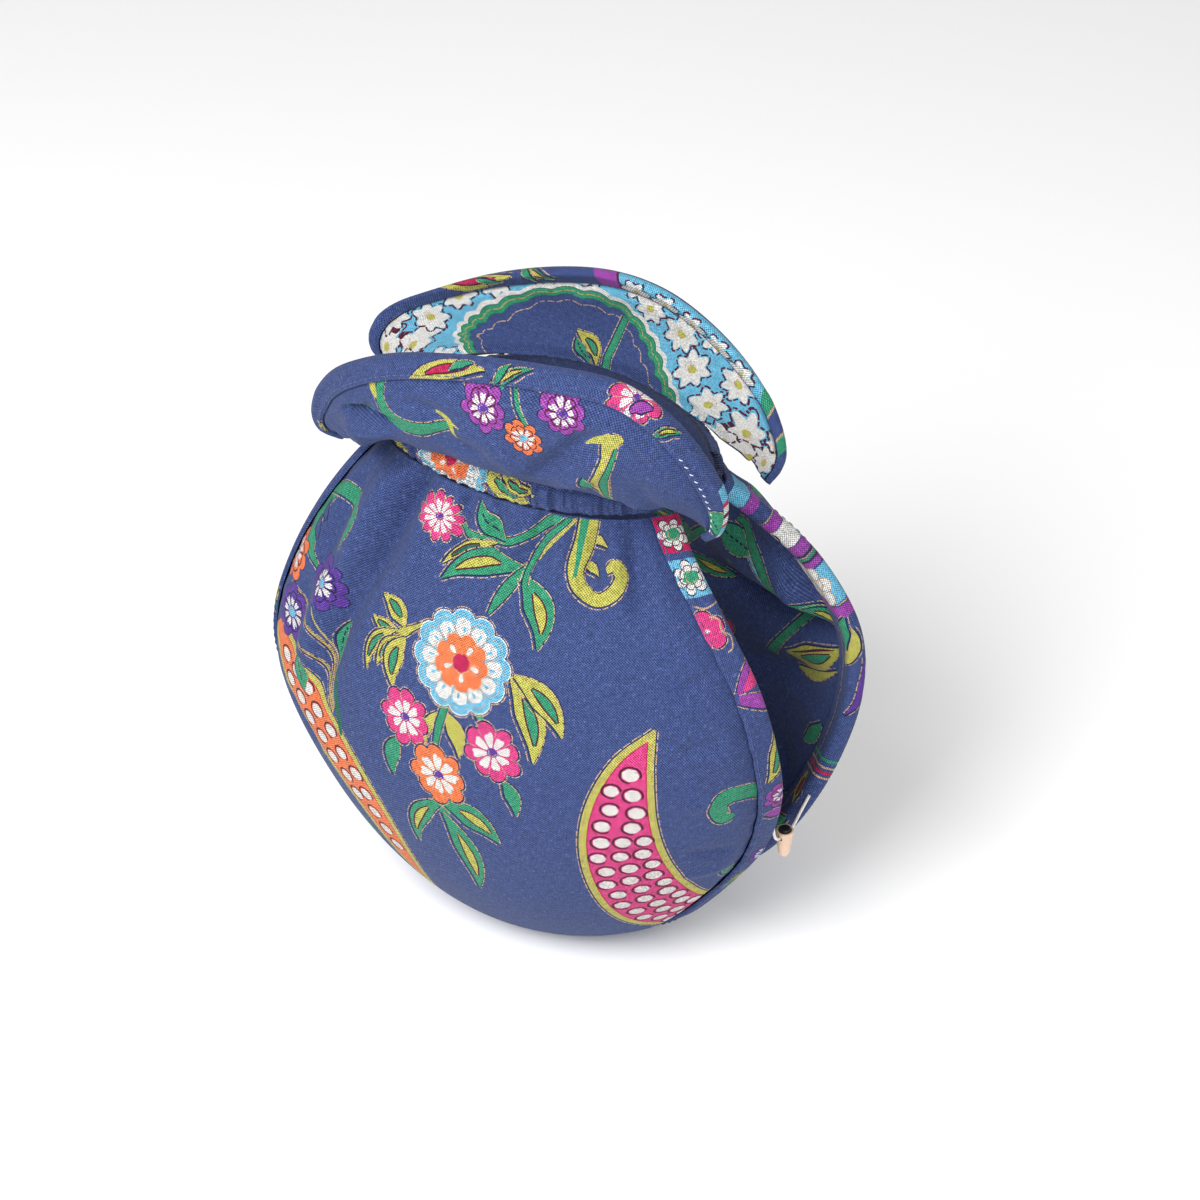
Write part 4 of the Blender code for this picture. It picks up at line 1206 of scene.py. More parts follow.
BACK_FLAP_MOTIFS = [
    Leaf("lime", (-7.7, 38.6), (-1.8, 60.4), 6.2, 0.12, "green"),
    Leaf("green", (-8.5, 43.9), (-4.6, 60.3), 4.2, -0.1, "plum"),
    Band("green", [(12.1, 24.1, 2.4), (7.7, 41.7, 2.8), (3, 61.4, 2.8)], True),
]
BACK_INNER_MOTIFS = [
    Leaf("green", (44.3, 470.2), (67.2, 466.0), 10.0, 0.12, "plum"),
    Band("sky", [(64, 464, 2.0), (72.6, 456.6, 3.4), (80, 447.6, 4.6), (84, 441, 2)], True),
    Band("green", [(55, 474, 3), (63.0, 468.4, 4.8), (71.0, 461.6, 4.6), (79, 452.4, 5.4),
                   (86.6, 443.0, 5.0), (90, 438, 3)],
         True),
    Band("green", [(51, 456, 3), (56.6, 446.4, 5.0), (65, 439.4, 6.0), (76.6, 437.4, 5.0),
                   (86, 436, 3)], True),
    Leaf("lime", (52.2, 443.1), (64.8, 435.2), 4.4, 0.1),
    Flower("mint", (73.5, 440.5), 2.4, 0.1),
    Leaf("green", (88.2, 449.7), (109.7, 440.6), 9.6, 0.12, "lime"),
    Leaf("green", (92.2, 446.0), (107.0, 434.6), 5.6, -0.1, "lime"),
    Band("green", [(66.4, 402.7, 3.8), (73.4, 415.5, 3.6), (80.7, 429.9, 3.4)], True),
    Leaf("lime", (76.5, 409.5), (111.0, 425.0), 12.5, 0.10, "green"),
    Band("plum", [(80, 411, 0.5), (95, 419, 1.2), (106, 422.5, 0.4)]),
    Leaf("lime", (79.8, 400.5), (111.0, 412.5), 4.6, 0.08),
    Leaf("green", (100, 372), (110, 384), 7.0, 0.1),
    Leaf("green", (96, 330), (104, 344), 6.0, 0.1, "lime"),
    # hidden by the opening's lip: more of the same leaves
    Flower("rose", (38, 400), 10.5, 0.2),
    Flower("apricot", (20, 420), 10.5, 0.6),
    Band("green", [(46, 470, 2), (30, 450, 3), (22, 432, 2.4), (30, 410, 2), (38, 400, 1)], True),
    Leaf("green", (30, 448), (10, 456), 8.0, 0.1, "lime"),
    Leaf("green", (26, 438), (44, 430), 8.0, 0.1, "lime"),
    Flower("night", (-30, 440), 10.0, 0.2),
    Flower("night", (-50, 420), 10.0, 0.4),
    Leaf("green", (-20, 420), (-34, 402), 8.0, 0.1, "lime"),
    Leaf("lime", (-14, 420), (-8, 400), 9.0, 0.1, "green"),
    Flower("great", (-10, 350), 18.0, 0.3),
    Flower("rose", (-40, 330), 10.5, 0.2),
    Flower("rose", (26, 322), 10.5, 0.4),
    Leaf("green", (-34, 318), (-50, 300), 9.0, 0.1, "lime"),
    Leaf("green", (24, 312), (36, 292), 9.0, -0.1, "lime"),
]
# The spout side's tape, from the front neck down under the base and up to the back neck: where each
# stripe starts and ends along it, and its ink.
SPOUT_STRIPES = (
    (0.0, 14.4, "crimson"), (14.4, 17.0, "navy"), (17.0, 31.4, "sky"), (31.4, 33.0, "navy"),
    (330.0, 334.0, "green"), (366.8, 367.8, "gold"), (369.0, 370.6, "crimson"), (371.8, 372.8, "gold"),
    (375.0, 376.4, "green"), (444.0, 449.0, "violet"), (449.6, 450.2, "gold"), (450.6, 467.4, "sky"),
    (468.2, 470.6, "violet"), (471.0, 471.6, "plum"), (472.0, 473.0, "green"), (473.2, 473.6, "gold"),
    (474.0, 474.6, "plum"), (475.0, 479.6, "violet"), (480.0, 488.6, "white"), (489.0, 493.0, "violet"),
    (493.3, 493.8, "gold"), (499.4, 503.6, "violet"), (504.0, 511.2, "sky"))
SPOUT_MOTIFS = [
    Flower("mint", (6.6, 7.4), 5.6, 0.1),
    Flower("mint", (6.8, 23.6), 6.0, 0.5),
    Band("gold", [(1.2, 33.6, 0.6), (6.4, 35.5, 0.6), (13, 34.3, 0.6)]),
    Flower("blush", (2.4, 43.6), 7.4, 0.3),
    Band("gold", [(6.0, 38.6, 0.6), (9.6, 40.6, 0.6), (8.4, 44.6, 0.6), (11.0, 47.4, 0.6), (9.4, 52.0, 0.6),
                  (6.4, 53.0, 0.6)]),
    Band("violet", [(15.2, 57.4, 1.4), (9.0, 62.6, 2.6), (2.6, 69.4, 2.2)], True),
    Band("magenta", [(15.6, 61.6, 2.0), (12.0, 65.6, 5.4), (5.2, 69.0, 1.0)]),
    Band("white", [(14.6, 60.4, 0.4), (15.4, 66.0, 1.2), (16.0, 71.0, 0.5)]),
    Band("violet", [(1.6, 71.4, 3.0), (7.8, 73.6, 5.4), (15.6, 77.4, 6.4)], True),
    Leaf("lime", (13.7, 89.5), (4.6, 113.6), 8.4, 0.1, "green"),
    Flower("orchid", (10.6, 124.9), 8.0, 0.1),
    Leaf("violet", (2.6, 134), (14.0, 141.0), 5.0, 0.1),
    Flower("night", (9.8, 166.8), 6.0, 0.1),
    Leaf("green", (3.8, 186.0), (13.0, 178.0), 5.0, 0.1, "lime"),
    Leaf("lime", (19.0, 350.0), (26.0, 366.0), 7.0, 0.1, "crimson"),
    Leaf("green", (17.0, 342.0), (26.0, 334.0), 5.0, 0.1),
    Leaf("purple", (12.5, 424.0), (17.0, 398.0), 5.0, 0.12),
    Leaf("lime", (15.0, 438.0), (24.0, 420.0), 6.6, 0.12),
    Leaf("green", (16.0, 444.0), (19.0, 428.0), 5.2, -0.12),
]
OVALS = [(18.2, 453.6, 2.5), (23.6, 454.6, 2.4), (16.4, 459.6, 2.3), (21.2, 460.6, 2.7), (26.8, 460.0, 2.4),
         (18.4, 465.4, 2.2), (24.2, 465.6, 2.6), (29.6, 454.8, 2.6), (32.4, 460.4, 2.3), (29.8, 465.8, 2.3)]
HANDLE_MOTIFS = [
    Leaf("green", (3.0, 96.0), (12.0, 82.0), 5.0, 0.1, "lime"),
    Flower("rose", (8.0, 130.0), 6.4, 0.3),
    Leaf("lime", (4.0, 160.0), (12.0, 176.0), 6.0, 0.1, "green"),
    Leaf("lime", (20.0, 420.0), (27.0, 404.0), 6.0, 0.1, "crimson"),
    Flower("orchid", (22.0, 380.0), 6.6, 0.2),
    Leaf("green", (18.0, 350.0), (26.0, 334.0), 6.0, 0.1, "lime"),
    Flower("apricot", (21.0, 470.0), 6.6, 0.2),
]


def moved(motifs, across, along, turned=False):
    """The motifs laid elsewhere on the cloth, turned round or not."""
    hand = -1 if turned else 1

    def put(x, y):
        return (hand * x + across, hand * y + along)

    laid = []
    for motif in motifs:
        if isinstance(motif, (Band, Crescent)):
            laid.append(motif._replace(rows=[(*put(x, y), wide) for x, y, wide in motif.rows]))
        elif isinstance(motif, Leaf):
            laid.append(motif._replace(base=put(*motif.base), tip=put(*motif.tip)))
        else:
            laid.append(motif._replace(centre=put(*motif.centre), turn=motif.turn + (not turned)))
    return laid


def front_prints(cloth):
    outer = Print(cloth, 1).draw(FRONT_CRESCENTS).draw(FRONT_MOTIFS)
    inner = Print(cloth, 2).draw(moved(BACK_INNER_MOTIFS, 8, -262))
    return outer.shapes, inner.shapes


def back_prints(cloth):
    outer = Print(cloth, 3)
    outer.draw(moved(FRONT_CRESCENTS, 6, 516, True)).draw(moved(FRONT_MOTIFS, 6, 516, True))
    inner = Print(cloth, 4).draw(BACK_INNER_MOTIFS)
    return outer.shapes, inner.shapes


def side_tape_prints(cloth, edge):
    outer = Print(cloth, 5)
    if edge > 0:
        for start, end, ink in SPOUT_STRIPES:
            outer.stripe(start, end, ink, slant=0.04, wave=0.15)
        outer.draw(SPOUT_MOTIFS)
        for radius, ink in ((4.0, "plum"), (3.3, "white"), (2.5, "lime")):
            outer.fill(outer.ring((23.4, 484.6), np.full(14, radius), 0.3), ink)
        for x, y, radius in OVALS:
            outer.fill(outer.ring((x, y), np.full(12, radius + 0.35), 0.2, 1.25), "gold")
            outer.fill(outer.ring((x, y), np.full(12, radius), 0.2, 1.25), "white")
    else:
        outer.draw(HANDLE_MOTIFS)
    y = np.arange(250.0, 440.0, 2.0)
    outer.dashes(np.column_stack([27.2 + 0.4 * np.sin(y / 7), y]))
    return outer.shapes, []


def casing_prints(cloth, side):
    outer = Print(cloth, 6)
    outer.draw(CASING_MOTIFS if side < 0 else moved(CASING_MOTIFS, 46, 0))
    return outer.shapes, []


def starry(cloth, seed):
    """The sky ground with white stars, and the scalloped navy field within it."""
    laid = Print(cloth, seed)
    laid.fill(cloth.outline(6.0), "sky")
    for index, (x, y, radius) in enumerate(STARS):
        laid.star(Flower("star", (x, y), radius, 0.7 * index))
    line, bulge = laid.arch(ARCH_ROWS, ARCH_LAYERS)
    laid.dashes(laid.beside(line, bulge - 4.0), "stripe_gold")
    laid.dashes(laid.beside(line, bulge - 9.6))
    return laid.draw(BACK_FLAP_MOTIFS)


def front_flap_prints(cloth):
    return Print(cloth, 7).draw(FRONT_FLAP_MOTIFS).shapes, starry(cloth, 8).shapes


def back_flap_prints(cloth):
    return Print(cloth, 9).draw(moved(FRONT_FLAP_MOTIFS, 14, 4)).shapes, starry(cloth, 10).shapes


def front_rim_prints(cloth):
    outer = Print(cloth, 11).draw(FRONT_RIM_MOTIFS)
    for start, end, ink in RIM_END:
        outer.stripe(start, end, ink, low=13.4, slant=0.1)
    return outer.shapes, []


def back_rim_prints(cloth):
    outer = Print(cloth, 12).draw(moved(FRONT_RIM_MOTIFS[:4], 8, -40))
    outer.stripe(0.4, 9.0, "deep_green", low=17.0)
    outer.stripe(128.0, 222.0, "sky", low=14.0)
    for start, end, ink in ((119.0, 128.4, "violet"), (128.4, 129.4, "plum"), (198.0, 203.0, "green"),
                            (203.0, 204.0, "gold"), (204.0, 212.0, "navy"), (212.0, 213.0, "gold"),
                            (213.0, 218.0, "green"), (218.0, 222.0, "navy")):
        outer.stripe(start, end, ink, low=14.0, slant=0.5)
    for index, place in enumerate(range(136, 196, 13)):
        outer.star(Flower("star", (22.0, place), 6.2, 0.9 * index))
    return outer.shapes, []


# ---------------------------------------------------------------- finishes


class Wire:
    """A number on its way through a finish: the socket that gives it, with arithmetic."""

    def __init__(self, finish, socket):
        self.finish = finish
        self.socket = socket

    def maths(self, operation, first, second=0.0):
        return self.finish.node("ShaderNodeMath", {"operation": operation}, {0: first, 1: second})

    def __add__(self, other):
        return self.maths("ADD", self, other)

    __radd__ = __add__

    def __sub__(self, other):
        return self.maths("SUBTRACT", self, other)

    def __rsub__(self, other):
        return self.maths("SUBTRACT", other, self)

    def __mul__(self, other):
        return self.maths("MULTIPLY", self, other)

    __rmul__ = __mul__

    def sine(self):
        return self.maths("SINE", self)

    def size(self):
        return self.maths("ABSOLUTE", self)

    def between(self, low, high):
        """0 below low, 1 above high, smooth between."""
        return self.finish.node("ShaderNodeMapRange", {"interpolation_type": "SMOOTHSTEP"},
                                {"Value": self, "From Min": low, "From Max": high})


class Finish:
    """A material in the making."""

    def __init__(self, name, roughness, **constants):
        self.material = bpy.data.materials.new(name)
        self.material.use_nodes = True
        self.tree = self.material.node_tree
        self.shader = self.tree.nodes["Principled BSDF"]
        self.shader.inputs["Roughness"].default_value = roughness
        for socket, value in constants.items():
            self.shader.inputs[socket.replace("_", " ")].default_value = value

    def node(self, kind, settings=None, feeds=None, gives=0):
        """A node with its settings and the values or wires of its sockets, as the wire it gives."""
        made = self.tree.nodes.new(kind)
        for key, value in (settings or {}).items():
            setattr(made, key, value)
        for socket, value in (feeds or {}).items():
            self.feed(made.inputs[socket], value)
        return Wire(self, made.outputs[gives])

    def feed(self, socket, value):
        if isinstance(value, Wire):
            self.tree.links.new(value.socket, socket)
        elif hasattr(socket.default_value, "__len__") and len(socket.default_value) == 4:
            socket.default_value = (*value[:3], 1.0)
        else:
            socket.default_value = value

    def set(self, socket, value):
        self.feed(self.shader.inputs[socket], value)

    def mixed(self, share, first, second, blend="MIX"):
        """A colour between two, or blended with the second by the given share."""
        return self.node("ShaderNodeMix", {"data_type": "RGBA", "blend_type": blend},
                         {"Factor": share, 6: first, 7: second}, gives=2)


def cotton(name, pitch, weave_deep):
    """Printed cotton: the print's inks over a plain weave of uneven threads, with painted shade and highlight
    on the weave.
    """
    finish = Finish(name, 0.86, Sheen_Weight=0.05, Sheen_Roughness=0.45, Specular_IOR_Level=0.3)
    lie = finish.node("ShaderNodeUVMap", {"uv_map": "cloth"})
    x = finish.node("ShaderNodeSeparateXYZ", {}, {0: lie})
    y = Wire(finish, x.socket.node.outputs[1])
    turns = math.pi / pitch
    bend = finish.node("ShaderNodeTexNoise", {"noise_dimensions": "2D"}, {"Vector": lie, "Scale": 260.0,
                                                                          "Detail": 1.0})
    sway = (bend - 0.5) * 1.6
    checks = (x * turns + sway).sine() * (y * turns + sway).sine()

    def thread(stretch_x, stretch_y):
        scaled = finish.node("ShaderNodeVectorMath", {"operation": "MULTIPLY"},
                             {0: lie, 1: (stretch_x, stretch_y, 1.0)})
        return finish.node("ShaderNodeTexNoise", {"noise_dimensions": "2D"},
                           {"Vector": scaled, "Scale": 1.0, "Detail": 2.0, "Roughness": 0.6})

    warp, weft = thread(1750.0, 330.0), thread(330.0, 1750.0)
    slubs = warp + weft - 1.0
    blotch = finish.node("ShaderNodeTexNoise", {"noise_dimensions": "2D"},
                         {"Vector": lie, "Scale": 38.0, "Detail": 3.0, "Roughness": 0.55})
    ink = finish.node("ShaderNodeVertexColor", {"layer_name": "print"})
    metal = Wire(finish, ink.socket.node.outputs[1])
    relief = checks * 0.75 + slubs * 1.1
    # painted shade and highlight: the inks are darkened in the weave's hollows and lightened on its raised
    # threads, from the same relief as the bump
    lit = relief.between(-0.65, 0.70)
    shaded = finish.mixed(1.0, ink, finish.mixed(lit, (0.34, 0.34, 0.39), (1.64, 1.62, 1.56)), "MULTIPLY")
    tint = finish.mixed(blotch.between(0.3, 0.7), (0.97, 0.97, 0.98), (1.03, 1.03, 1.02))
    shaded = finish.mixed(1.0, shaded, tint, "MULTIPLY")
    # paler bluish-grey flecks where the weave's threads rise highest
    fleck = (checks * 0.35 + slubs * 1.8).between(0.42, 1.05)
    flecked = finish.mixed(fleck * 0.19, shaded, (0.44, 0.50, 0.70))
    finish.set("Base Color", flecked)
    finish.set("Roughness", 0.88 - metal * 0.45)
    finish.set("Metallic", metal * 0.5)
    bump = finish.node("ShaderNodeBump", {}, {"Strength": 0.5, "Distance": weave_deep, "Height": relief})
    finish.set("Normal", bump)
    return finish.material


def thread_finish(name, colour):
    """Twisted thread or elastic: fine slanting ridges, with painted shade in their grooves and painted
    highlight on their crests.
    """
    finish = Finish(name, 0.62, Sheen_Weight=0.1)
    place = finish.node("ShaderNodeNewGeometry")
    wave = finish.node("ShaderNodeTexWave", {"wave_type": "BANDS", "bands_direction": "DIAGONAL"},
                       {"Vector": place, "Scale": 900.0, "Distortion": 1.5, "Detail": 1.0}, gives=1)
    # painted highlight on the twist's crests and painted shade in its grooves, along the same bands that
    # raise the bump
    pale = tuple(min(level * 1.12, 1.0) for level in colour)
    groove_shade = tuple(level * 0.7 for level in colour)
    finish.set("Base Color", finish.mixed(wave, groove_shade, pale))
    finish.set("Normal", finish.node("ShaderNodeBump", {}, {"Strength": 0.6, "Distance": 0.0001,
                                                             "Height": wave}))
    return finish.material


def moulded(name, colour, roughness):
    """Moulded plastic with a faint grain and handling marks."""
    finish = Finish(name, roughness, Specular_IOR_Level=0.45)
    place = finish.node("ShaderNodeNewGeometry")
    grain = finish.node("ShaderNodeTexNoise", {}, {"Vector": place, "Scale": 900.0, "Detail": 4.0})
    cloud = finish.node("ShaderNodeTexNoise", {}, {"Vector": place, "Scale": 160.0, "Detail": 2.0})
    finish.set("Base Color", finish.mixed(cloud, tuple(level * 0.9 for level in colour),
                                          tuple(min(level * 1.08, 1.0) for level in colour)))
    finish.set("Roughness", roughness + (cloud - 0.5) * 0.2)
    finish.set("Normal", finish.node("ShaderNodeBump", {}, {"Strength": 0.15, "Distance": 0.00005,
                                                             "Height": grain}))
    return finish.material


# ---------------------------------------------------------------- sizes and colours a user would change


class CosyClothSettings(bpy.types.PropertyGroup):
    """Fineness and weave of the cosy's cloth"""

    panel_step: bpy.props.FloatProperty(
        name="Panel step", description="Spacing of the mesh over the padded panels, in millimetres",
        default=2.3, min=1.0, max=6.0)
    trim_step: bpy.props.FloatProperty(
        name="Trim step", description="Spacing of the mesh over tapes and casings, in millimetres",
        default=1.3, min=0.5, max=4.0)
    thread_pitch: bpy.props.FloatProperty(
        name="Thread pitch", description="Distance from one thread of the cotton to the next",
        default=0.00052, precision=5, subtype="DISTANCE", unit="LENGTH")
    weave_deep: bpy.props.FloatProperty(
        name="Weave depth", description="Height of the weave's relief",
        default=0.00016, precision=5, subtype="DISTANCE", unit="LENGTH")
    thread_colour: bpy.props.FloatVectorProperty(
        name="Hand stitches", description="Colour of the whip stitches", subtype="COLOR",
        default=(0.86, 0.86, 0.88), min=0.0, max=1.0)


class CosyStageSettings(bpy.types.PropertyGroup):
    """Floor, light and view"""

    floor_colour: bpy.props.FloatVectorProperty(
        name="Floor", description="Colour of the plain floor", subtype="COLOR",
        default=(0.97, 0.97, 0.97), min=0.0, max=1.0)
    key_power: bpy.props.FloatProperty(
        name="Key light", description="Power of the large soft light", default=22.0, min=0.0, unit="POWER")
    sky_strength: bpy.props.FloatProperty(
        name="Room light", description="Strength of the even light from all round", default=0.54, min=0.0)
    view_distance: bpy.props.FloatProperty(
        name="View distance", description="Distance of the camera from the cosy's middle",
        default=1.1, subtype="DISTANCE", unit="LENGTH")
    view_turn: bpy.props.FloatProperty(
        name="View turn", description="Turn of the camera from the front towards the spout",
        default=math.radians(30), subtype="ANGLE", unit="ROTATION")
    view_height: bpy.props.FloatProperty(
        name="View height", description="Angle of the camera above the horizon",
        default=math.radians(38), subtype="ANGLE", unit="ROTATION")
    lens: bpy.props.FloatProperty(
        name="Lens", description="Focal length in millimetres", default=89.1, min=10.0)


def cloth_settings():
    return bpy.context.scene.cosy_cloth


FINISHES = {}


def cotton_finish(name):
    """The printed cotton of one name, made once."""
    if name not in FINISHES:
        settings = cloth_settings()
        FINISHES[name] = cotton(name, settings.thread_pitch, settings.weave_deep)
    return FINISHES[name]


# ---------------------------------------------------------------- the pieces

def panel_cloth(side):
    """The flat cloth of the front panel (-1) or the back panel (1)."""
    low, high = (0.0, STRIP_MIDDLE - SPLIT) if side < 0 else (STRIP_MIDDLE + SPLIT, STRIP_LONG)
    return Cloth(low, high, lambda y: -strip_half(-1 + 0 * np.asarray(y), y),
                 lambda y: strip_half(1 + 0 * np.asarray(y), y), panel_place)


def oblong_cloth(left, right, high, place):
    """The flat cloth of a tape, a casing or a flap, from left to right and from 0 to high."""
    return Cloth(0.0, high, lambda y: left + 0.0 * np.asarray(y), lambda y: right + 0.0 * np.asarray(y),
                 place)


class COSY_OT_draw_cord(bpy.types.Operator):
    """Lay the elastic below the spout, with its cord stopper"""

    bl_idname = "cosy.draw_cord"
    bl_label = "Elastic and stopper"

    def execute(self, context):
        raise_if_empty(CORD_ROUTE)
        curve = bpy.data.curves.new("draw_elastic", "CURVE")
        curve.dimensions = "3D"
        curve.bevel_depth = CORD_WIDE / 2 * MM
        curve.bevel_resolution = 6
        curve.use_fill_caps = True
        path = curve.splines.new("POLY")
        route = along_rows(CORD_ROUTE, np.linspace(0, len(CORD_ROUTE) - 1, 37)) * MM
        path.points.add(len(route) - 1)
        for point, place in zip(path.points, route):
            point.co = (*place, 1.0)
        curve.materials.append(thread_finish("elastic_thread", (0.80, 0.78, 0.72)))
        elastic = bpy.data.objects.new("draw_elastic", curve)
        context.scene.collection.objects.link(elastic)
        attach(elastic, "root")
        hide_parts("draw_cord")
        for node, finish in (("stopper_barrel", moulded("stopper_beige", (0.66, 0.47, 0.34), 0.42)),
                             ("stopper_plunger", moulded("stopper_black", (0.012, 0.012, 0.013), 0.35))):
            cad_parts[node].data.materials.clear()
            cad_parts[node].data.materials.append(finish)
        return {"FINISHED"}


def raise_if_empty(rows):
    if not len(rows):
        raise RuntimeError("there is nothing to make the piece from")


class COSY_OT_panels(bpy.types.Operator):
    """Make the padded front and back panels"""

    bl_idname = "cosy.panels"
    bl_label = "Padded panels"

    def execute(self, context):
        step = cloth_settings().panel_step
        for name, side, prints in (("front_panel", -1, front_prints), ("back_panel", 1, back_prints)):
            cloth = panel_cloth(side)
            piece = sew(name, cloth, prints(cloth), (step, step * 1.25), cotton_finish("panel_print"))
            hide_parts("body")
        return {"FINISHED"}


class COSY_OT_side_tapes(bpy.types.Operator):
    """Fold a printed tape round each side edge of the panels"""

    bl_idname = "cosy.side_tapes"
    bl_label = "Side tapes"

    def execute(self, context):
        step = cloth_settings().trim_step
        for name, edge, node in (("spout_side_tape", 1, "side_binding_spout"),
                                 ("handle_side_tape", -1, "side_binding_handle")):
            place, long = side_tape_place(edge)
            low, high = side_tape_sides(edge)
            cloth = oblong_cloth(low, high, long, place)
            prints = side_tape_prints(cloth, edge)
            piece = sew(name, cloth, prints, (step, 2.4), cotton_finish("binding_print"))
            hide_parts(node)
            long * MM
        return {"FINISHED"}


class COSY_OT_casings(bpy.types.Operator):
    """Gather a casing along the neck of each panel"""

    bl_idname = "cosy.casings"
    bl_label = "Neck casings"

    def execute(self, context):
        step = cloth_settings().trim_step
        for name, side, node in (("front_casing", -1, "casing_front"), ("back_casing", 1, "casing_back")):
            place, long = casing_place(side)
            cloth = oblong_cloth(0.0, long, CASING_HIGH, place)
            piece = sew(name, cloth, casing_prints(cloth, side), (0.42 * step, 2.0),
                        cotton_finish("casing_print"))
            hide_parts(node)
            GATHERED * long * MM
        return {"FINISHED"}


class COSY_OT_flaps(bpy.types.Operator):
    """Make the two padded collar flaps that flare above the neck"""

    bl_idname = "cosy.flaps"
    bl_label = "Collar flaps"

    def execute(self, context):
        step = cloth_settings().panel_step * 0.85
        for name, flap, folds, prints, node in (
                ("front_flap", FLAP_FRONT, FLAP_FRONT_FOLDS, front_flap_prints, "flap_front"),
                ("back_flap", FLAP_BACK, FLAP_BACK_FOLDS, back_flap_prints, "flap_back")):
            cloth = oblong_cloth(-FLAP_WIDE, FLAP_WIDE, FLAP_HIGH, flap_place(flap, folds))
            piece = sew(name, cloth, prints(cloth), (step, step), cotton_finish("panel_print"))
            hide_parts(node)
        return {"FINISHED"}


class COSY_OT_rim_tapes(bpy.types.Operator):
    """Fold a printed tape round the rim of each flap"""

    bl_idname = "cosy.rim_tapes"
    bl_label = "Rim tapes"

    def execute(self, context):
        step = cloth_settings().trim_step
        for name, flap, prints, node in (
                ("front_rim_tape", FLAP_FRONT, front_rim_prints, "rim_binding_front"),
                ("back_rim_tape", FLAP_BACK, back_rim_prints, "rim_binding_back")):
            place, long = rim_tape_place(flap)
            cloth = oblong_cloth(RIM_TRIM, TAPE_FLAT - RIM_TRIM, long, place)
            piece = sew(name, cloth, prints(cloth), (step, 2.4), cotton_finish("binding_print"))
            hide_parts(node)
            long * MM
        return {"FINISHED"}


STITCH_SIDES = 6
STITCH_RINGS = 7
THREAD_WIDE = 0.34
HAND_THREAD_WIDE = 0.42


def stitches(name, cloth, pairs, wide, finish):
    """Short stitches on a cloth's outer face, each an arched thread between two flat places."""
    sides = STITCH_SIDES
    turns = np.linspace(0, 2 * math.pi, sides, endpoint=False)
    shares = np.linspace(0, 1, STITCH_RINGS)
    verts, faces = [], []
    for start, end in pairs:
        spots = np.array([start]) + (np.array([end]) - start) * shares[:, None]
        points, normals = ring_of(cloth, 0, spots, 1)
        inner = cloth.place(*spots.T, 1)
        normals = normals * np.sign(((points - inner) * normals).sum(-1, keepdims=True))
        run = unit(np.gradient(points, axis=0))
        beside = unit(np.cross(run, normals))
        lift = wide * (0.9 * np.sin(math.pi * shares) ** 0.5 - 0.45)
        middle = points + normals * lift[:, None]
        girth = 0.5 * wide * (0.75 + 0.25 * np.sin(math.pi * shares))
        first = len(verts)
        for spot_here, across, up, size in zip(middle, beside, normals, girth):
            verts += [spot_here + size * (math.cos(turn) * across + math.sin(turn) * up) for turn in turns]
        for ring in range(len(shares) - 1):
            low, high = first + sides * ring, first + sides * (ring + 1)
            faces += [(low + k, low + (k + 1) % sides, high + (k + 1) % sides, high + k)
                      for k in range(sides)]
        faces += [tuple(first + k for k in reversed(range(sides))),
                  tuple(len(verts) - sides + k for k in range(sides))]
    mesh = bpy.data.meshes.new(name)
    mesh.from_pydata([tuple(vert * MM) for vert in verts], [], faces)
    shape = bmesh.new()
    shape.from_mesh(mesh)
    bmesh.ops.recalc_face_normals(shape, faces=shape.faces)
    shape.to_mesh(mesh)
    shape.free()
    mesh.shade_smooth()
    return shown(name, mesh, finish)


def upright(x, start, end):
    """A straight line up a flat cloth."""
    y = np.arange(start, end, 1.0)
    return np.column_stack([np.full(len(y), x), y])


def running(line, long, gap, lean=0.0):
    """Pairs of places for a row of stitches along a flat line, each leaning sideways or not."""
    run = run_of(line)
    pairs = []
    for start in np.arange(0.4, run[-1] - long, long + gap):
        ends = [np.array([np.interp(stop, run, line[:, k]) for k in (0, 1)])
                for stop in (start, start + long)]
        pairs.append((ends[0] - (lean, 0), ends[1] + (lean, 0)))
    return pairs


class COSY_OT_stitches(bpy.types.Operator):
    """Sew the rows of stitches that show on the tapes and casings"""

    bl_idname = "cosy.stitches"
    bl_label = "Stitches"

    def execute(self, context):
        navy = thread_finish("navy_thread", (0.055, 0.075, 0.21))
        pale = thread_finish("pale_thread", (0.72, 0.72, 0.74))
        for name, flap in (("front_rim_stitches", FLAP_FRONT), ("back_rim_stitches", FLAP_BACK)):
            place, long = rim_tape_place(flap)
            cloth = oblong_cloth(RIM_TRIM, TAPE_FLAT - RIM_TRIM, long, place)
            hand_from = 0.80 * long
            row = running(upright(RIM_TRIM + 1.5, 9.0, hand_from), 2.3, 1.1)
            stitches(name, cloth, row, THREAD_WIDE, navy)
            row = running(upright(RIM_TRIM + 1.7, hand_from, long - 7.0), 1.7, 2.0, 0.35)
            stitches(name + "_hand_sewn", cloth, row, HAND_THREAD_WIDE, pale)
        for name, edge in (("spout_tape_stitches", 1), ("handle_tape_stitches", -1)):
            place, long = side_tape_place(edge)
            low, high = side_tape_sides(edge)
            cloth = oblong_cloth(low, high, long, place)
            row = running(upright(low + 1.5, 4.0, long - 4.0), 2.4, 1.1)
            stitches(name, cloth, row, THREAD_WIDE, navy)
        for name, side in (("front_casing_stitches", -1), ("back_casing_stitches", 1)):
            place, long = casing_place(side)
            cloth = oblong_cloth(0.0, long, CASING_HIGH, place)
            x = np.arange(6.0, long - 6.0, 0.5)
            pairs = []
            for height in (LOWER_SEAM, UPPER_SEAM):
                pairs += running(np.column_stack([x, np.full(len(x), height)]), 1.7, 1.0)
            stitches(name, cloth, pairs, THREAD_WIDE, navy)
        return {"FINISHED"}


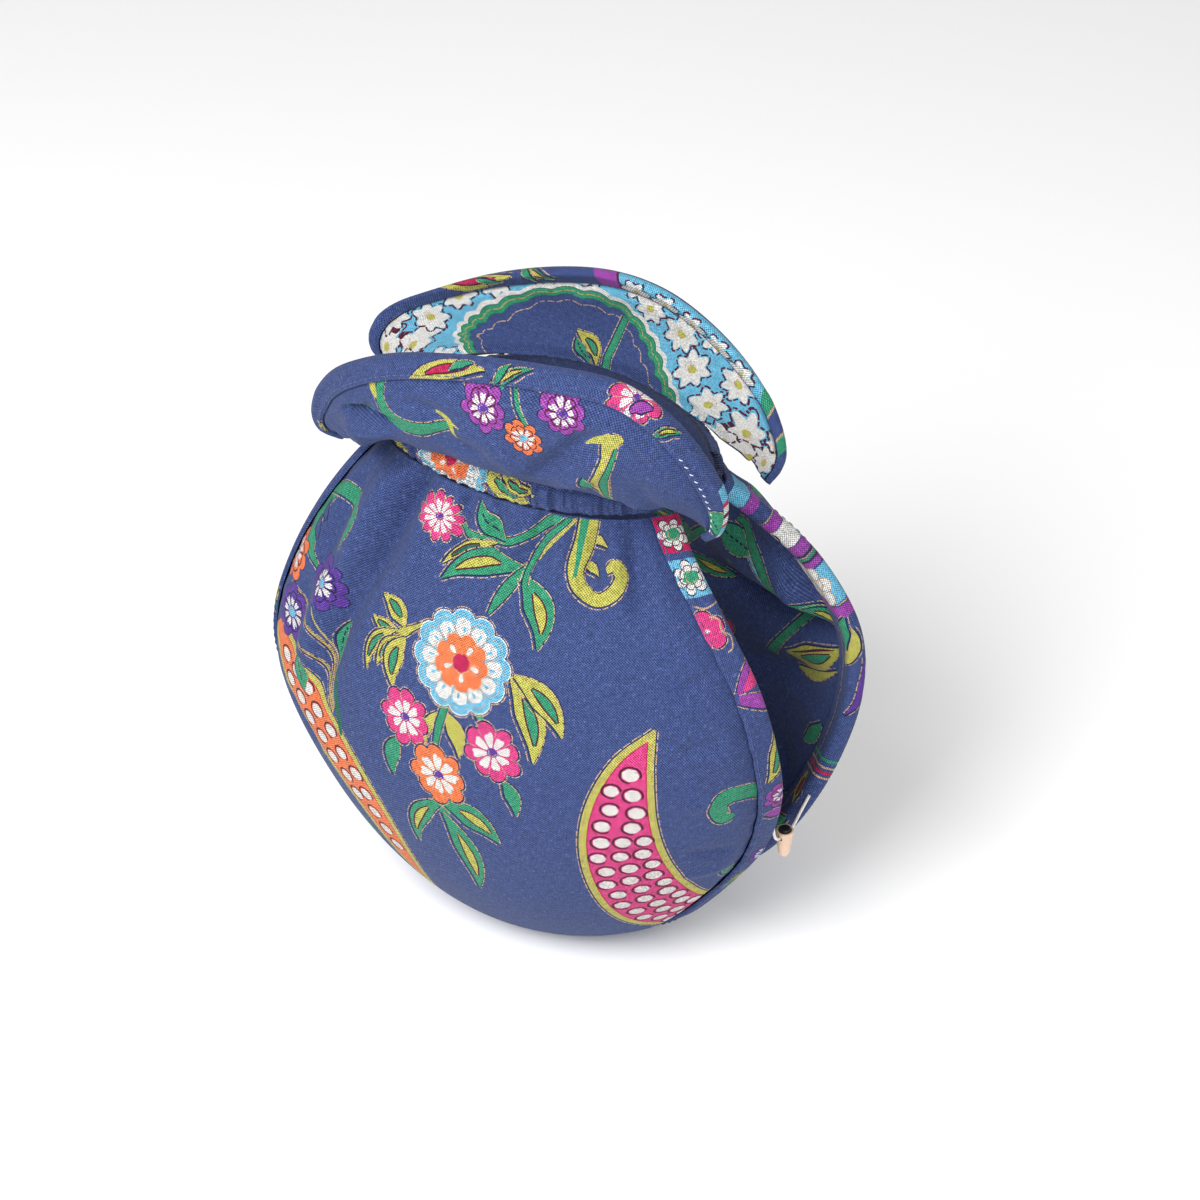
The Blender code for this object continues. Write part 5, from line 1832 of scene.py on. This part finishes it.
class COSY_OT_stage(bpy.types.Operator):
    """Set the plain floor, the soft studio light and the camera"""

    bl_idname = "cosy.stage"
    bl_label = "Floor, light and camera"

    def execute(self, context):
        settings = context.scene.cosy_stage
        bpy.ops.mesh.primitive_plane_add(size=8.0, location=(0.0, 0.0, -0.0006))
        floor = context.object
        floor.name = "floor"
        finish = Finish("floor_paper", 0.9, Specular_IOR_Level=0.2)
        finish.set("Base Color", tuple(settings.floor_colour))
        floor.data.materials.append(finish.material)
        world = bpy.data.worlds.new("studio")
        world.use_nodes = True
        back = world.node_tree.nodes["Background"]
        back.inputs["Color"].default_value = (1.0, 1.0, 1.0, 1.0)
        back.inputs["Strength"].default_value = settings.sky_strength
        context.scene.world = world
        middle = Vector(LOOK_AT)
        turn, height = settings.view_turn, settings.view_height
        level = math.cos(height)
        away = Vector((math.sin(turn) * level, -math.cos(turn) * level, math.sin(height)))
        camera = bpy.data.objects.new("camera", bpy.data.cameras.new("camera"))
        camera.location = middle + away * settings.view_distance
        camera.rotation_euler = away.to_track_quat("Z", "Y").to_euler()
        camera.data.lens = settings.lens
        camera.data.sensor_width = 36.0
        camera.data.clip_start = 0.01
        context.scene.collection.objects.link(camera)
        context.scene.camera = camera
        for name, place, wide, power in (
                ("key_light", (-0.15, -0.9, 1.15), 0.8, settings.key_power),
                ("fill_light", (0.95, -0.6, 0.8), 0.9, settings.key_power * 0.26)):
            lamp = bpy.data.lights.new(name, "AREA")
            lamp.energy = power
            lamp.size = wide
            light = bpy.data.objects.new(name, lamp)
            light.location = place
            light.rotation_euler = (Vector(place) - middle).to_track_quat("Z", "Y").to_euler()
            context.scene.collection.objects.link(light)
        context.scene.view_settings.view_transform = "Standard"
        return {"FINISHED"}


class COSY_PT_pieces(bpy.types.Panel):
    """The cosy's pieces, in the order they are made"""

    bl_label = "Tea cosy"
    bl_idname = "COSY_PT_pieces"
    bl_space_type = "VIEW_3D"
    bl_region_type = "UI"
    bl_category = "Tea cosy"

    def draw(self, context):
        for settings in (context.scene.cosy_cloth, context.scene.cosy_stage):
            box = self.layout.box()
            for key in settings.__annotations__:
                box.prop(settings, key)
        for operator in OPERATORS:
            self.layout.operator(operator.bl_idname)


OPERATORS = (COSY_OT_stage, COSY_OT_draw_cord, COSY_OT_panels, COSY_OT_side_tapes, COSY_OT_casings,
             COSY_OT_flaps, COSY_OT_rim_tapes, COSY_OT_stitches)
CLASSES = (CosyClothSettings, CosyStageSettings, *OPERATORS, COSY_PT_pieces)


def register():
    for made in CLASSES:
        bpy.utils.register_class(made)
    bpy.types.Scene.cosy_cloth = bpy.props.PointerProperty(type=CosyClothSettings)
    bpy.types.Scene.cosy_stage = bpy.props.PointerProperty(type=CosyStageSettings)


def unregister():
    del bpy.types.Scene.cosy_cloth
    del bpy.types.Scene.cosy_stage
    for made in reversed(CLASSES):
        bpy.utils.unregister_class(made)


def main():
    register()
    bpy.ops.cosy.stage()
    bpy.ops.cosy.draw_cord()
    bpy.ops.cosy.panels()
    bpy.ops.cosy.side_tapes()
    bpy.ops.cosy.casings()
    bpy.ops.cosy.flaps()
    bpy.ops.cosy.rim_tapes()
    bpy.ops.cosy.stitches()


if __name__ == "__main__":
    main()
